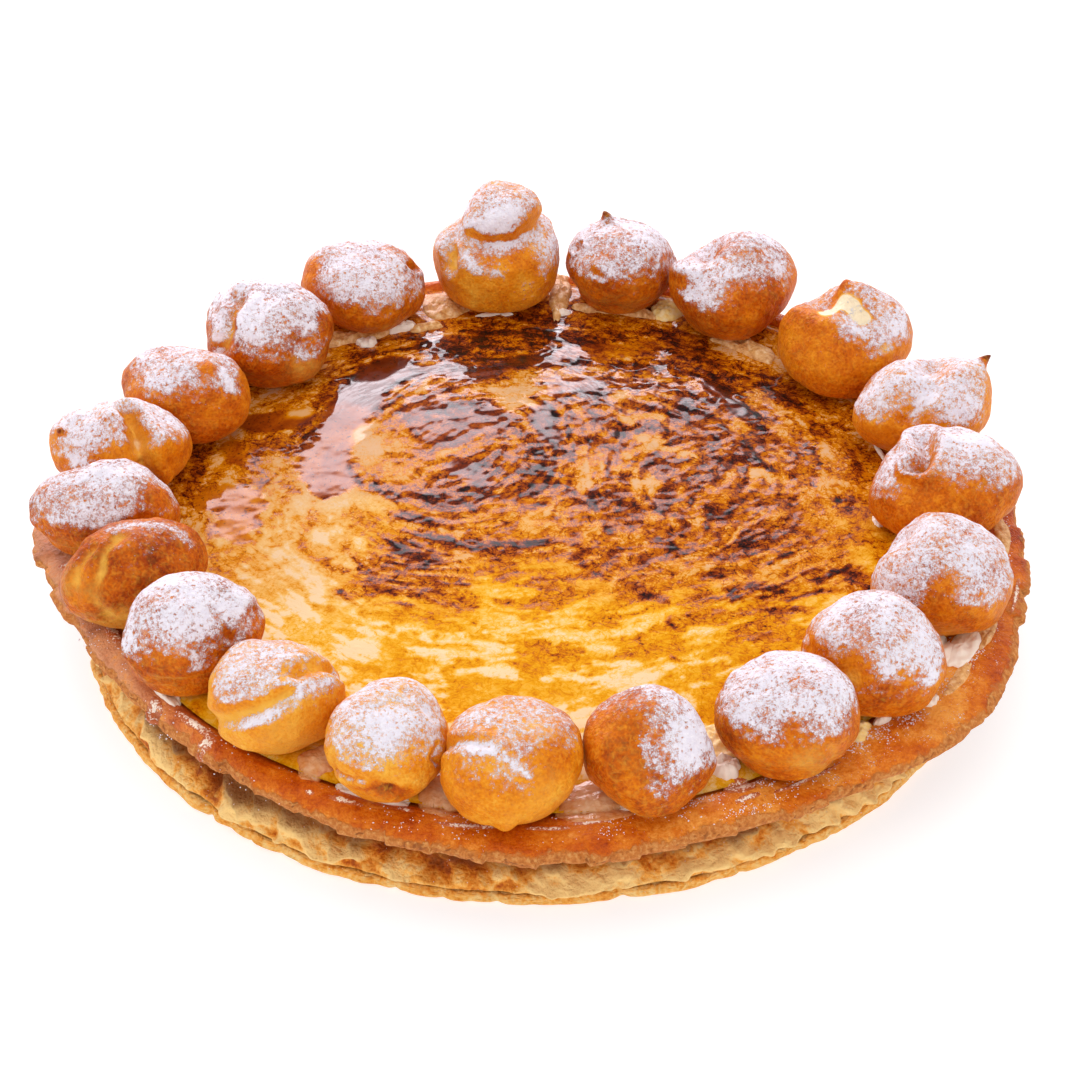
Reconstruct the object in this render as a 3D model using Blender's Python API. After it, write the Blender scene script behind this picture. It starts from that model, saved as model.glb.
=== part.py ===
"""Saint-honore cake with a bruleed custard top, as separate solids.

From the plate up: a puff pastry base of two sheets, a browned crust with a raised rim, the
custard that fills it, and a ring of choux puffs. Metres, +Z up. The origin is at the middle of
the cake's bounding box, on the plate.
"""
import math

import bmesh
import bpy
from mathutils import Vector

MM = 0.001

# ---- driving dimensions -------------------------------------------------------------------
BASE_RADIUS = 139 * MM
BASE_HEIGHT = 20 * MM
SHEET_HEIGHT = 3.6 * MM        # the lower sheet of the base, at its edge
SLIT_DEPTH = 5 * MM            # the open seam between the base's two sheets
FLUTES = 22                    # folds round the base's upper sheet
FLUTE_DEPTH = 1.0 * MM

CRUST_RADIUS = 147 * MM
CRUST_FLOOR = 7 * MM           # thickness of the crust under the custard
CRUST_RIM = 10.5 * MM          # height of the rim's crest over the crust's underside
CUSTARD_RADIUS = 133 * MM
CUSTARD_TOP = 13 * MM          # over the crust's underside, in the middle of the cake
PUFF_SEAT = 11.5 * MM          # underside of the puffs, over the crust's underside
GAP = 0.3 * MM                 # between pieces that rest on each other

BASE_STEPS = 96
CRUST_STEPS = 64
PUFF_STEPS = 16
UNDERSIDE_ANGLE = -52          # degrees down from a puff's equator, where its flat foot begins

# Bulges and hollows in the crust's outline: bearing in degrees, spread in degrees, reach.
CRUST_BULGES = (
    (-34, 20, 8.5 * MM),
    (0, 25, 2.5 * MM),
    (-90, 10, 4 * MM),
    (-140, 24, -6 * MM),
    (90, 40, -6 * MM),
    (180, 14, 8 * MM),
)

# Each puff: bearing in degrees, reach of its middle from the ring's centre, half its length
# along that reach, half its width across it, its height, and its marks. A mark is a lobe, or
# with a minus sign a dent: the way it faces in degrees, how far up it sits in degrees, its
# spread in degrees and its depth. All the lengths are in millimetres.
PUFFS = (
    (96, 127, 20.5, 20.5, 39.5, ()),
    (77.5, 127.5, 19.5, 18.6, 25.5, ((140, 75, 25, 2.0),)),
    (60.5, 128, 21.5, 19.3, 25.5, ((170, 60, 35, -4.0), (-10, 50, 40, 1.5))),
    (39, 127, 22.0, 20.6, 28.5, ((150, 55, 30, -3.0),)),
    (20.5, 129, 22.5, 18.0, 25, ((-100, 80, 28, -5.0), (0, 45, 30, 1.5))),
    (1, 124, 22.5, 20.0, 26, ((180, 55, 28, -3.0), (-10, 50, 40, 1.5))),
    (-20, 127, 20.0, 19.8, 28, ()),
    (-39.5, 125, 22.0, 19.6, 28.5, ((180, 40, 35, -2.5),)),
    (-57, 129, 20.5, 19.2, 29.5, ()),
    (-75.5, 126, 19.0, 18.4, 29.5, ((0, 30, 40, 1.0),)),
    (-92.5, 127, 19.5, 18.8, 28, ((180, 15, 30, 1.0),)),
    (-109.3, 125, 19.3, 17.8, 27, ()),
    (-126.8, 122, 19.5, 18.0, 27.5, ((30, 35, 25, -1.5),)),
    (-144.3, 123.5, 21.0, 18.5, 31, ()),
    (-160.5, 126, 22.0, 16.8, 27.5, ()),
    (-175.5, 131, 22.0, 15.0, 27, ()),
    (170, 131, 21.5, 16.0, 25, ((0, 55, 24, -3.5), (0, 10, 24, 1.5))),
    (155, 123, 21.0, 17.0, 24.5, ()),
    (136, 120, 21.3, 20.8, 28.5, ((160, 60, 25, -3.0),)),
    (116, 127.5, 20.5, 19.8, 24, ((20, 50, 22, -2.0),)),
)
DOUBLE_PUFF = 0                # the puff that carries a second, smaller ball


def baked(name, colour, roughness):
    """A Principled BSDF material of one colour."""
    material = bpy.data.materials.new(name)
    material.use_nodes = True
    shader = material.node_tree.nodes["Principled BSDF"]
    shader.inputs["Base Color"].default_value = (*colour, 1.0)
    shader.inputs["Roughness"].default_value = roughness
    return material


def turned(profile, steps):
    """A closed body made by spinning (radius, height) pairs, axis to axis, round Z."""
    body = bmesh.new()
    points = [body.verts.new((radius, 0, height)) for radius, height in profile]
    edges = [body.edges.new(pair) for pair in zip(points, points[1:])]
    bmesh.ops.spin(
        body,
        geom=points + edges,
        cent=(0, 0, 0),
        axis=(0, 0, 1),
        angle=math.tau,
        steps=steps,
        use_merge=True,
    )
    bmesh.ops.remove_doubles(body, verts=body.verts, dist=0.01 * MM)
    bmesh.ops.recalc_face_normals(body, faces=body.faces)
    return body


def piece(name, body, material, parent):
    """Names the body as an object of the cake."""
    mesh = bpy.data.meshes.new(name)
    body.to_mesh(mesh)
    body.free()
    mesh.shade_smooth()
    mesh.materials.append(material)
    made = bpy.data.objects.new(name, mesh)
    bpy.context.collection.objects.link(made)
    made.parent = parent
    return made


def turn_between(first, second):
    """The angle from one bearing to another, -180 to 180 degrees."""
    return (second - first + 180) % 360 - 180


def swell(distance, spread):
    """1 in the middle of a mark, falling off smoothly over its spread."""
    return math.exp(-((distance / spread) ** 2))


def pushed_out(point, length):
    """The point moved away from the Z axis by that length."""
    radius = math.hypot(point.x, point.y)
    factor = (radius + length) / radius
    return Vector((point.x * factor, point.y * factor, point.z))


def make_base(material, parent):
    """Two sheets of puff pastry: a flat one below, a fluted dome above, an open seam between."""
    edge = BASE_RADIUS
    seam = SHEET_HEIGHT + 0.6 * MM
    dome_start = SHEET_HEIGHT + 1.4 * MM
    body = turned(
        (
            (0, 0),
            (edge - 4 * MM, 0),
            (edge, 1.2 * MM),
            (edge - 0.4 * MM, SHEET_HEIGHT),
            (edge - SLIT_DEPTH, seam),
            (edge - 0.8 * MM, dome_start),
            (edge - 5 * MM, 0.47 * BASE_HEIGHT),
            (edge - 13 * MM, 0.78 * BASE_HEIGHT),
            (edge - 23 * MM, BASE_HEIGHT),
            (0, BASE_HEIGHT),
        ),
        BASE_STEPS,
    )
    for vertex in body.verts:
        radius = math.hypot(vertex.co.x, vertex.co.y)
        on_dome = edge - 20 * MM < radius and vertex.co.z > seam + 0.1 * MM
        if on_dome:
            bearing = math.atan2(vertex.co.y, vertex.co.x)
            fold = math.cos(FLUTES * bearing + 1.3 * math.sin(3 * bearing))
            vertex.co.z += 0.5 * FLUTE_DEPTH * (fold - 1)
            vertex.co = pushed_out(vertex.co, 0.5 * FLUTE_DEPTH * (fold - 1))
    return piece("base", body, material, parent)


def crust_bulge(bearing):
    """How far the crust's outline stands out of its circle at a bearing in degrees."""
    return sum(
        reach * swell(turn_between(middle, bearing), spread)
        for middle, spread, reach in CRUST_BULGES
    )


def make_crust(material, parent):
    """The browned crust: a thin floor with a soft, raised rim that overhangs the base."""
    under = BASE_HEIGHT + GAP
    edge = CRUST_RADIUS
    floor = under + CRUST_FLOOR
    crest = under + CRUST_RIM
    body = turned(
        (
            (0, under),
            (BASE_RADIUS - 25 * MM, under),
            (edge - 12 * MM, under + 1.6 * MM),
            (edge - 3.5 * MM, under + 3.2 * MM),
            (edge, under + 6.2 * MM),
            (edge - 1.5 * MM, crest - 1.8 * MM),
            (edge - 6 * MM, crest - 0.2 * MM),
            (edge - 10 * MM, crest),
            (CUSTARD_RADIUS + 1.5 * MM, crest - 0.8 * MM),
            (CUSTARD_RADIUS - 4 * MM, floor),
            (0, floor),
        ),
        CRUST_STEPS,
    )
    first_moved = CUSTARD_RADIUS + 2.5 * MM
    for vertex in body.verts:
        radius = math.hypot(vertex.co.x, vertex.co.y)
        if radius > first_moved:
            share = (radius - first_moved) / (edge - first_moved)
            bearing = math.degrees(math.atan2(vertex.co.y, vertex.co.x))
            vertex.co = pushed_out(vertex.co, share * crust_bulge(bearing))
    return piece("crust", body, material, parent)


def make_custard(material, parent):
    """The custard in the crust: level, with a lower shoulder that the puffs stand on."""
    under = BASE_HEIGHT + GAP
    floor = under + CRUST_FLOOR + GAP
    shoulder = under + PUFF_SEAT - GAP
    top = under + CUSTARD_TOP
    edge = CUSTARD_RADIUS
    inside_puffs = 105 * MM
    body = turned(
        (
            (0, floor),
            (edge - 4.6 * MM, floor),
            (edge, shoulder - 0.9 * MM),
            (edge - 2 * MM, shoulder),
            (inside_puffs, shoulder),
            (inside_puffs - 4 * MM, top - 0.7 * MM),
            (inside_puffs - 30 * MM, top - 0.2 * MM),
            (0, top),
        ),
        CRUST_STEPS,
    )
    return piece("custard", body, material, parent)


def bun_profile():
    """A plain puff of radius 1 and height 1: a flat foot, then an arc to the crown."""
    start = math.radians(UNDERSIDE_ANGLE)
    arc = 8
    low = math.sin(start)
    points = [(0.0, 0.0)]
    for index in range(arc):
        angle = start + index / arc * (math.pi / 2 - start)
        points.append((math.cos(angle), (math.sin(angle) - low) / (1 - low)))
    return points + [(0.0, 1.0)]


def double_profile():
    """A puff of radius 1 and height 1 with a second ball on its crown."""
    return (
        (0, 0),
        (0.62, 0),
        (0.95, 0.12),
        (1.0, 0.32),
        (0.88, 0.50),
        (0.60, 0.62),
        (0.55, 0.68),
        (0.62, 0.80),
        (0.42, 0.96),
        (0, 1),
    )


def make_puff(number, spec, material, parent):
    """One choux puff, standing on the custard with its foot flat."""
    bearing, reach, half_length, half_width, height, marks = spec
    profile = double_profile() if number == DOUBLE_PUFF else bun_profile()
    body = turned(profile, PUFF_STEPS)
    middle = Vector((0, 0, 0.44))
    for vertex in body.verts:
        out = vertex.co - middle
        faces = math.degrees(math.atan2(out.y, out.x)) + bearing
        up = math.degrees(math.asin(out.z / out.length))
        grown = 0.0
        for mark_faces, mark_up, spread, depth in marks:
            across = turn_between(mark_faces, faces) * math.cos(math.radians(up))
            grown += depth * swell(math.hypot(across, up - mark_up), spread)
        vertex.co.x *= half_length * MM
        vertex.co.y *= half_width * MM
        vertex.co.z *= height * MM
        if vertex.co.z > 0:
            vertex.co += out.normalized() * grown * MM
    puff = piece(f"puff_{number + 1:02d}", body, material, parent)
    angle = math.radians(bearing)
    away = reach * MM
    seat = BASE_HEIGHT + GAP + PUFF_SEAT
    puff.location = (away * math.cos(angle), away * math.sin(angle), seat)
    puff.rotation_euler = (0, 0, angle)
    return puff


def centre_on_origin(cake, pieces):
    """Moves the whole cake so that its bounding box stands centred on the origin."""
    bpy.context.view_layer.update()
    corners = [p.matrix_world @ v.co for p in pieces for v in p.data.vertices]
    for axis in (0, 1):
        side = [corner[axis] for corner in corners]
        cake.location[axis] -= (min(side) + max(side)) / 2


def main():
    for old in list(bpy.data.objects):
        bpy.data.objects.remove(old)
    cake = bpy.data.objects.new("cake", None)
    bpy.context.collection.objects.link(cake)
    flaky = baked("puff_pastry", (0.72, 0.43, 0.16), 0.7)
    browned = baked("browned_crust", (0.50, 0.17, 0.05), 0.5)
    caramel = baked("bruleed_custard", (0.75, 0.36, 0.06), 0.2)
    choux = baked("choux", (0.68, 0.33, 0.09), 0.6)
    pieces = [
        make_base(flaky, cake),
        make_crust(browned, cake),
        make_custard(caramel, cake),
    ]
    for number, spec in enumerate(PUFFS):
        pieces.append(make_puff(number, spec, choux, cake))
    centre_on_origin(cake, pieces)


main()
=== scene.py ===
# %% [markdown]
# # A saint-honore cake with a bruleed custard top
#
# This notebook finishes a cake whose plain solids already stand in the right places: a puff
# pastry base, a browned crust with a raised rim, a disc of custard and a ring of choux puffs.
# Each solid is replaced by a fine surface of the same size. Every surface is worked out with
# numpy as a whole array of points, because baked things are all small bumps and no straight
# edges: a formula with noise in it gives them, and hand modelling doesn't.

# %% Libraries and the fixed frame
import math

import bpy
import numpy as np
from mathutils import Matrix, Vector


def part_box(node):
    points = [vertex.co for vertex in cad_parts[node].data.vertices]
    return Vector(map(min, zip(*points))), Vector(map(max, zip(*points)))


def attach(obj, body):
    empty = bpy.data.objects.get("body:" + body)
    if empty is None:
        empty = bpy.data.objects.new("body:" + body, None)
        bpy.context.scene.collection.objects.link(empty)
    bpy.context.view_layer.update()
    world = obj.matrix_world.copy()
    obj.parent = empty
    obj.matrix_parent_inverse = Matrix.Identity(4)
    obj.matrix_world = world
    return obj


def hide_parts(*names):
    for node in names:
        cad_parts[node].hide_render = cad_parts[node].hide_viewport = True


MM = 0.001
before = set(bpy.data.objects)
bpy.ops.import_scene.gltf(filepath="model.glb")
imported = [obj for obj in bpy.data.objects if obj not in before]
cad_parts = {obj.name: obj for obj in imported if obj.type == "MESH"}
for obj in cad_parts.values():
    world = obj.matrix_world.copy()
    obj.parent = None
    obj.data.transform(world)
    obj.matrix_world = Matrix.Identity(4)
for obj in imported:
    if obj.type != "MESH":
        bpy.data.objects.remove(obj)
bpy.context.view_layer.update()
print("the solids:", sorted(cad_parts))

# %% [markdown]
# ## What the frame says
#
# The sizes come from the solids, so that the fine surfaces land where the solids are. The base is
# round, so its middle is the middle of the ring of puffs too. The crust isn't round: its edge is
# read as a reach for each bearing.

# %% Sizes read from the solids


def cad_points(node):
    """The corner points of a solid, one row of x, y, z each."""
    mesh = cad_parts[node].data
    flat = np.empty(3 * len(mesh.vertices), dtype=np.float32)
    mesh.vertices.foreach_get("co", flat)
    return flat.reshape(-1, 3).astype(float)


base_low, base_high = (np.array(corner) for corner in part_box("base"))
custard_low, custard_high = (np.array(corner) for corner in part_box("custard"))
MIDDLE = 0.5 * (base_low + base_high) * np.array([1.0, 1.0, 0.0])
BASE_RADIUS = 0.5 * (base_high[0] - base_low[0])
CUSTARD_RADIUS = 0.5 * (custard_high[0] - custard_low[0])
CUSTARD_TOP = custard_high[2]
PUFF_NODES = sorted(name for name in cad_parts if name.startswith("puff_"))
PUFF_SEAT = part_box(PUFF_NODES[0])[0][2]
print("base radius", round(BASE_RADIUS, 4), "custard top", round(CUSTARD_TOP, 4))


def polar(points):
    """Reach from the middle of the cake, and bearing in radians, of rows of points."""
    x, y = points[..., 0] - MIDDLE[0], points[..., 1] - MIDDLE[1]
    return np.hypot(x, y), np.arctan2(y, x)


def around(values, bearings, asked):
    """Reads values known at some bearings at other ones, going round the circle."""
    order = np.argsort(bearings)
    return np.interp(asked, bearings[order], values[order], period=2 * np.pi)


# the outer edge: the points nearly as far out as the furthest one close to their bearing
NEARLY, CLOSE_BEARING = 0.985, 0.06
edge_reach, edge_bearing = polar(cad_points("crust"))
at_edge = edge_reach > NEARLY * np.array([
    edge_reach[np.abs(np.angle(np.exp(1j * (edge_bearing - b)))) < CLOSE_BEARING].max()
    for b in edge_bearing
])
CRUST_EDGE = (edge_reach[at_edge], edge_bearing[at_edge])


def crust_edge(bearing):
    """The reach of the crust's outer edge at each bearing."""
    return around(*CRUST_EDGE, bearing)


print("crust edge from", CRUST_EDGE[0].min().round(4), "to", CRUST_EDGE[0].max().round(4))

# %% [markdown]
# ## Noise, and a few curves
#
# Baked surfaces need noise that is the same each run. Here it is made from scratch: each corner
# of a grid of cubes gets a number from a whole-number hash of its place, and a point between
# corners takes a smooth mix of the eight round it. Octaves add the same noise at half the size
# and half the strength.

# %% Noise
GRID_SHIFT = 17.3  # moves each octave's grid, so that no two share their corners
NOISE_GAIN = 1.35  # a mix of eight corners seldom comes near 1 or -1


def corner_value(i, j, k, seed):
    """A repeatable number from -1 to 1 for each corner of a grid."""
    mixed = (i * 73856093) ^ (j * 19349663) ^ (k * 83492791) ^ (seed * 26544357)
    mixed = (mixed ^ (mixed >> 13)) * 1274126177
    return ((mixed ^ (mixed >> 16)) & 0xFFFF) / 32767.5 - 1.0


def noise(points, size, seed=0, octaves=1):
    """Smooth noise, about -1 to 1, in lumps of the given size.

    A point's value is the mix of its cube's eight corner values, weighted by the curve
    3t^2 - 2t^3 along each side. Each further octave is half the size and half the strength."""
    total = np.zeros(points.shape[:-1])
    strength, whole = 1.0, 0.0
    for octave in range(octaves):
        place = points / size * 2.0**octave + GRID_SHIFT * (seed + octave)
        cell = np.floor(place).astype(np.int64)
        t = place - cell
        t = t * t * (3.0 - 2.0 * t)
        mix = np.zeros(points.shape[:-1])
        for di in (0, 1):
            for dj in (0, 1):
                for dk in (0, 1):
                    weight = np.abs(1 - di - t[..., 0]) * np.abs(1 - dj - t[..., 1])
                    weight = weight * np.abs(1 - dk - t[..., 2])
                    corner = corner_value(
                        cell[..., 0] + di, cell[..., 1] + dj, cell[..., 2] + dk, seed
                    )
                    mix += weight * corner
        total += strength * mix
        whole += strength
        strength *= 0.5
    return total / whole * NOISE_GAIN


def ease(low, high, value):
    """0 at low, 1 at high, and a smooth S between them; low may be the larger."""
    t = np.clip((value - low) / (high - low), 0.0, 1.0)
    return t * t * (3.0 - 2.0 * t)


def swell(distance, spread):
    """A bell: 1 at distance 0, and near 0 past twice the spread."""
    return np.exp(-((distance / spread) ** 2))


def smooth_through(corners, count):
    """A curve through a few corner points: each stretch is the cubic whose slope at a corner is
    half the step between that corner's neighbours. count is how many points it returns."""
    corners = np.asarray(corners, dtype=float)
    lengths = np.linalg.norm(np.diff(corners, axis=0), axis=1)
    at = np.concatenate([[0.0], np.cumsum(lengths)])
    slopes = np.gradient(corners, at, axis=0)
    asked = np.linspace(0.0, at[-1], count)
    which = np.clip(np.searchsorted(at, asked, side="right") - 1, 0, len(lengths) - 1)
    step = lengths[which][:, None]
    t = ((asked - at[which]) / lengths[which])[:, None]
    start, end = corners[which], corners[which + 1]
    return (
        (2 * t**3 - 3 * t**2 + 1) * start
        + (t**3 - 2 * t**2 + t) * step * slopes[which]
        + (3 * t**2 - 2 * t**3) * end
        + (t**3 - t**2) * step * slopes[which + 1]
    )


# %% [markdown]
# ## From arrays to meshes
#
# Nearly every piece is a set of rings stacked from its underside to its top. The first and last
# ring shrink to one point each, so that the body is closed. A value for each point, such as how
# much sugar lies there, goes with the mesh as an attribute, and the material reads it.

# %% Mesh helpers


def mesh_piece(name, points, faces, material, values=None, replaces=()):
    """An object at the origin from points, faces and one attribute for each named value."""
    mesh = bpy.data.meshes.new(name)
    mesh.from_pydata(points.reshape(-1, 3).tolist(), [], faces)
    mesh.shade_smooth()
    for key, value in (values or {}).items():
        attribute = mesh.attributes.new(key, "FLOAT", "POINT")
        attribute.data.foreach_set("value", np.asarray(value, dtype=np.float32).ravel())
    mesh.materials.append(material)
    made = bpy.data.objects.new(name, mesh)
    bpy.context.scene.collection.objects.link(made)
    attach(made, "root")
    if replaces:
        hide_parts(*replaces)
    triangles = sum(len(face) - 2 for face in faces)
    print(f"{name}: {len(mesh.vertices)} points, {triangles} triangles")


def ring_faces(rows, columns):
    """Faces of a closed body: a point, rows rings of columns points, and a last point.

    Point 0 is the lower pole, ring r starts at 1 + r * columns, and the last is the upper pole."""
    column = np.arange(columns)
    following = (column + 1) % columns
    starts = 1 + columns * np.arange(rows - 1)[:, None]
    above = starts + columns
    quads = np.stack([starts + column, starts + following, above + following, above + column], axis=-1)
    quads = quads.reshape(-1, 4)
    top = 1 + columns * rows
    last = top - columns
    under = np.stack([np.zeros_like(column), following + 1, column + 1], axis=-1)
    over = np.stack([last + column, last + following, np.full_like(column, top)], axis=-1)
    return quads.tolist() + under.tolist() + over.tolist()


def with_poles(rings):
    """The points of a stack of rings, with the middle of the first and last ring as poles."""
    first, last = rings[0].mean(axis=0), rings[-1].mean(axis=0)
    return np.concatenate([first[None], rings.reshape(-1, *rings.shape[2:]), last[None]])


def pole_values(values):
    """The named values of a stack of rings, each with the means of its first and last ring too."""
    return {
        key: np.concatenate([[value[0].mean()], value.ravel(), [value[-1].mean()]])
        for key, value in values.items()
    }


def turned(profile, columns):
    """Rings round the middle of the cake from a profile of (reach, height) rows.

    Ring i, column j is at reach r_i and bearing 2 pi j / columns - pi."""
    bearing = np.linspace(-np.pi, np.pi, columns, endpoint=False)[None, :]
    reach, height = profile[:, 0:1], profile[:, 1:2]
    rings = np.empty((len(profile), columns, 3))
    rings[..., 0] = reach * np.cos(bearing)
    rings[..., 1] = reach * np.sin(bearing)
    rings[..., 2] = height + 0.0 * bearing
    return rings, np.broadcast_to(bearing, rings.shape[:2])


# %% [markdown]
# ## Materials are small networks
#
# A material here is a Principled shader fed by noise textures on Object coordinates and by the
# attributes of the mesh. Two helpers keep the networks short enough to read.

# %% Material helpers


def add(tree, kind, sockets=None, **settings):
    """Adds a shader node. settings are its properties. sockets gives inputs a value, or another
    node's output to read from."""
    node = tree.nodes.new("ShaderNode" + kind)
    for key, value in settings.items():
        setattr(node, key, value)
    for key, value in (sockets or {}).items():
        if isinstance(value, bpy.types.NodeSocket):
            tree.links.new(value, node.inputs[key])
        else:
            node.inputs[key].default_value = value
    return node


def reading(tree, name):
    """The value of the mesh's own attribute."""
    return add(tree, "Attribute", attribute_name=name).outputs["Fac"]


def grain(tree, size, detail=3.0, stretch=None, distortion=0.0):
    """Noise from 0 to 1 on Object coordinates, in lumps of the given size in metres."""
    place = add(tree, "TexCoord").outputs["Object"]
    if stretch:
        place = add(tree, "Mapping", {"Vector": place, "Scale": stretch}).outputs["Vector"]
    sockets = {"Vector": place, "Scale": 1.0 / size, "Detail": detail, "Distortion": distortion}
    return add(tree, "TexNoise", sockets).outputs["Fac"]


def sum_of(tree, *terms):
    """Adds values up. A term is a (value, factor) pair, a bare value or a number."""
    total = 0.0
    for term in terms:
        value, factor = term if isinstance(term, tuple) else (term, 1.0)
        sockets = {0: value, 1: factor, 2: total}
        total = add(tree, "Math", sockets, operation="MULTIPLY_ADD").outputs[0]
    return total


def times(tree, first, second):
    """The product of two values."""
    return add(tree, "Math", {0: first, 1: second}, operation="MULTIPLY").outputs[0]


def window(tree, value, low, high):
    """0 where the value is at low, 1 where it is at high, and a smooth slope between them."""
    if low > high:
        sockets = {"Value": value, "From Min": high, "From Max": low, "To Min": 1.0, "To Max": 0.0}
    else:
        sockets = {"Value": value, "From Min": low, "From Max": high}
    return add(tree, "MapRange", sockets, interpolation_type="SMOOTHSTEP").outputs[0]


def linear(colour):
    """A colour from 0..255 screen values to the linear light that shaders use."""
    share = np.asarray(colour, dtype=float) / 255.0
    low, high = share / 12.92, ((share + 0.055) / 1.055) ** 2.4
    return (*np.where(share <= 0.04045, low, high), 1.0)


def ramp(tree, value, stops):
    """Colours by value: stops are (place from 0 to 1, screen colour)."""
    node = add(tree, "ValToRGB", {"Fac": value})
    elements = node.color_ramp.elements
    for element, (place, colour) in zip((elements[0], elements[1]), (stops[0], stops[-1])):
        element.position, element.color = place, linear(colour)
    for place, colour in stops[1:-1]:
        elements.new(place).color = linear(colour)
    return node.outputs["Color"]


def blend(tree, share, first, second):
    """Goes from the first colour to the second as share goes from 0 to 1."""
    node = add(tree, "Mix", {"Factor": share}, data_type="RGBA")
    for index, colour in ((6, first), (7, second)):
        if isinstance(colour, bpy.types.NodeSocket):
            tree.links.new(colour, node.inputs[index])
        else:
            node.inputs[index].default_value = linear(colour)
    return node.outputs[2]


def new_material(name):
    """A material and its node tree, with an empty Principled shader."""
    material = bpy.data.materials.new(name)
    material.use_nodes = True
    tree = material.node_tree
    return material, tree, tree.nodes["Principled BSDF"]


def finish_material(tree, shader, colour, roughness, height, height_size, **constants):
    """Feeds the shader its colour, roughness and a bump whose height is height_size metres."""
    tree.links.new(colour, shader.inputs["Base Color"])
    if isinstance(roughness, bpy.types.NodeSocket):
        tree.links.new(roughness, shader.inputs["Roughness"])
    else:
        shader.inputs["Roughness"].default_value = roughness
    if height is not None:
        bump = add(tree, "Bump", {"Height": height, "Distance": height_size, "Strength": 1.0})
        tree.links.new(bump.outputs["Normal"], shader.inputs["Normal"])
    for key, value in constants.items():
        shader.inputs[key.replace("_", " ").title().replace("Ior", "IOR")].default_value = value


# %% [markdown]
# ## The camera
#
# A long lens from far away, looking down at a bit over a third of a right angle. The long lens is
# what keeps the far puffs nearly as large as the near ones.

# %% Camera
VIEW_DOWN = math.radians(37.5)
CAMERA_AWAY = 1.2
SENSOR, LENS_TO_SENSOR = 36.0, 3.4954
AIM = MIDDLE + np.array([1.1, 31.75, 0.0]) * MM

camera_data = bpy.data.cameras.new("camera")
camera_data.sensor_width = SENSOR
camera_data.lens = SENSOR * LENS_TO_SENSOR
camera_data.clip_start = 0.05
camera = bpy.data.objects.new("camera", camera_data)
bpy.context.scene.collection.objects.link(camera)
camera.location = AIM + CAMERA_AWAY * np.array([0.0, -math.cos(VIEW_DOWN), math.sin(VIEW_DOWN)])
camera.rotation_euler = (math.pi / 2 - VIEW_DOWN, 0.0, 0.0)
bpy.context.scene.camera = camera

# %% [markdown]
# ## Light
#
# The custard is a mirror where caramel lies in pools, so the light is mostly about what that
# mirror sees: a wide, low, bright panel behind the cake, and a dark room above its top edge. The
# surround is white near the horizon, dark in the middle heights and bright overhead, all the way
# round, so the shadows on the floor stay pale and the colours aren't veiled by reflections.

# %% Light and floor
SOFT_EDGE = 0.10


def light_panel(name, place, aim, width, height, strength, tint):
    """A flat light of width by height metres, facing the aim point, with the given radiance. It
    fades over the outer tenth of each side."""
    data = bpy.data.lights.new(name, "AREA")
    data.shape = "RECTANGLE"
    data.size, data.size_y = width, height
    data.energy = strength * math.pi * width * height
    data.color = tint
    data.use_nodes = True
    tree = data.node_tree
    spot = add(tree, "SeparateXYZ", {0: add(tree, "NewGeometry").outputs["Parametric"]})
    fade = 1.0
    for side in (spot.outputs["X"], spot.outputs["Y"]):
        ends = times(tree, window(tree, side, 0.0, SOFT_EDGE), window(tree, side, 1.0, 1.0 - SOFT_EDGE))
        fade = times(tree, fade, ends)
    tree.links.new(fade, tree.nodes["Emission"].inputs["Strength"])
    panel = bpy.data.objects.new(name, data)
    bpy.context.scene.collection.objects.link(panel)
    panel.location = place
    away = np.array(aim, dtype=float) - np.array(place, dtype=float)
    turn = math.atan2(away[0], -away[1])
    tilt = math.atan2(math.hypot(away[0], away[1]), -away[2])
    panel.rotation_euler = (tilt, 0.0, turn + math.pi)


light_panel(
    "panel_behind",
    place=(-0.346, 1.5, 0.714),
    aim=(0.0, 0.0, 0.04),
    width=1.15,
    height=0.88,
    strength=7.0,
    tint=(1.0, 0.94, 1.02),
)

world = bpy.data.worlds.new("surround")
world.use_nodes = True
sky = world.node_tree
upward = add(sky, "SeparateXYZ", {0: add(sky, "TexCoord").outputs["Generated"]}).outputs["Z"]
SKY_SCALE = 2.5  # keeps the ramp's colours below 1; the background multiplies it back
# (height of the direction, from 0 at the horizon to 1 overhead; brightness)
SKY = ((0.0, 1.25), (0.58, 1.15), (0.64, 0.10), (0.78, 0.16), (0.88, 1.9), (1.0, 2.0))
sky_ramp = add(sky, "ValToRGB", {"Fac": upward})
sky_ramp.color_ramp.elements.remove(sky_ramp.color_ramp.elements[0])
sky_ramp.color_ramp.elements[0].position = SKY[0][0]
for place, bright in SKY[1:]:
    sky_ramp.color_ramp.elements.new(place)
for element, (place, bright) in zip(sky_ramp.color_ramp.elements, SKY):
    element.position = place
    element.color = (bright / SKY_SCALE, bright / SKY_SCALE, bright / SKY_SCALE, 1.0)
sky.links.new(sky_ramp.outputs["Color"], sky.nodes["Background"].inputs["Color"])
sky.nodes["Background"].inputs["Strength"].default_value = SKY_SCALE
bpy.context.scene.world = world
bpy.context.scene.view_settings.view_transform = "Standard"
bpy.context.scene.view_settings.look = "None"

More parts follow.
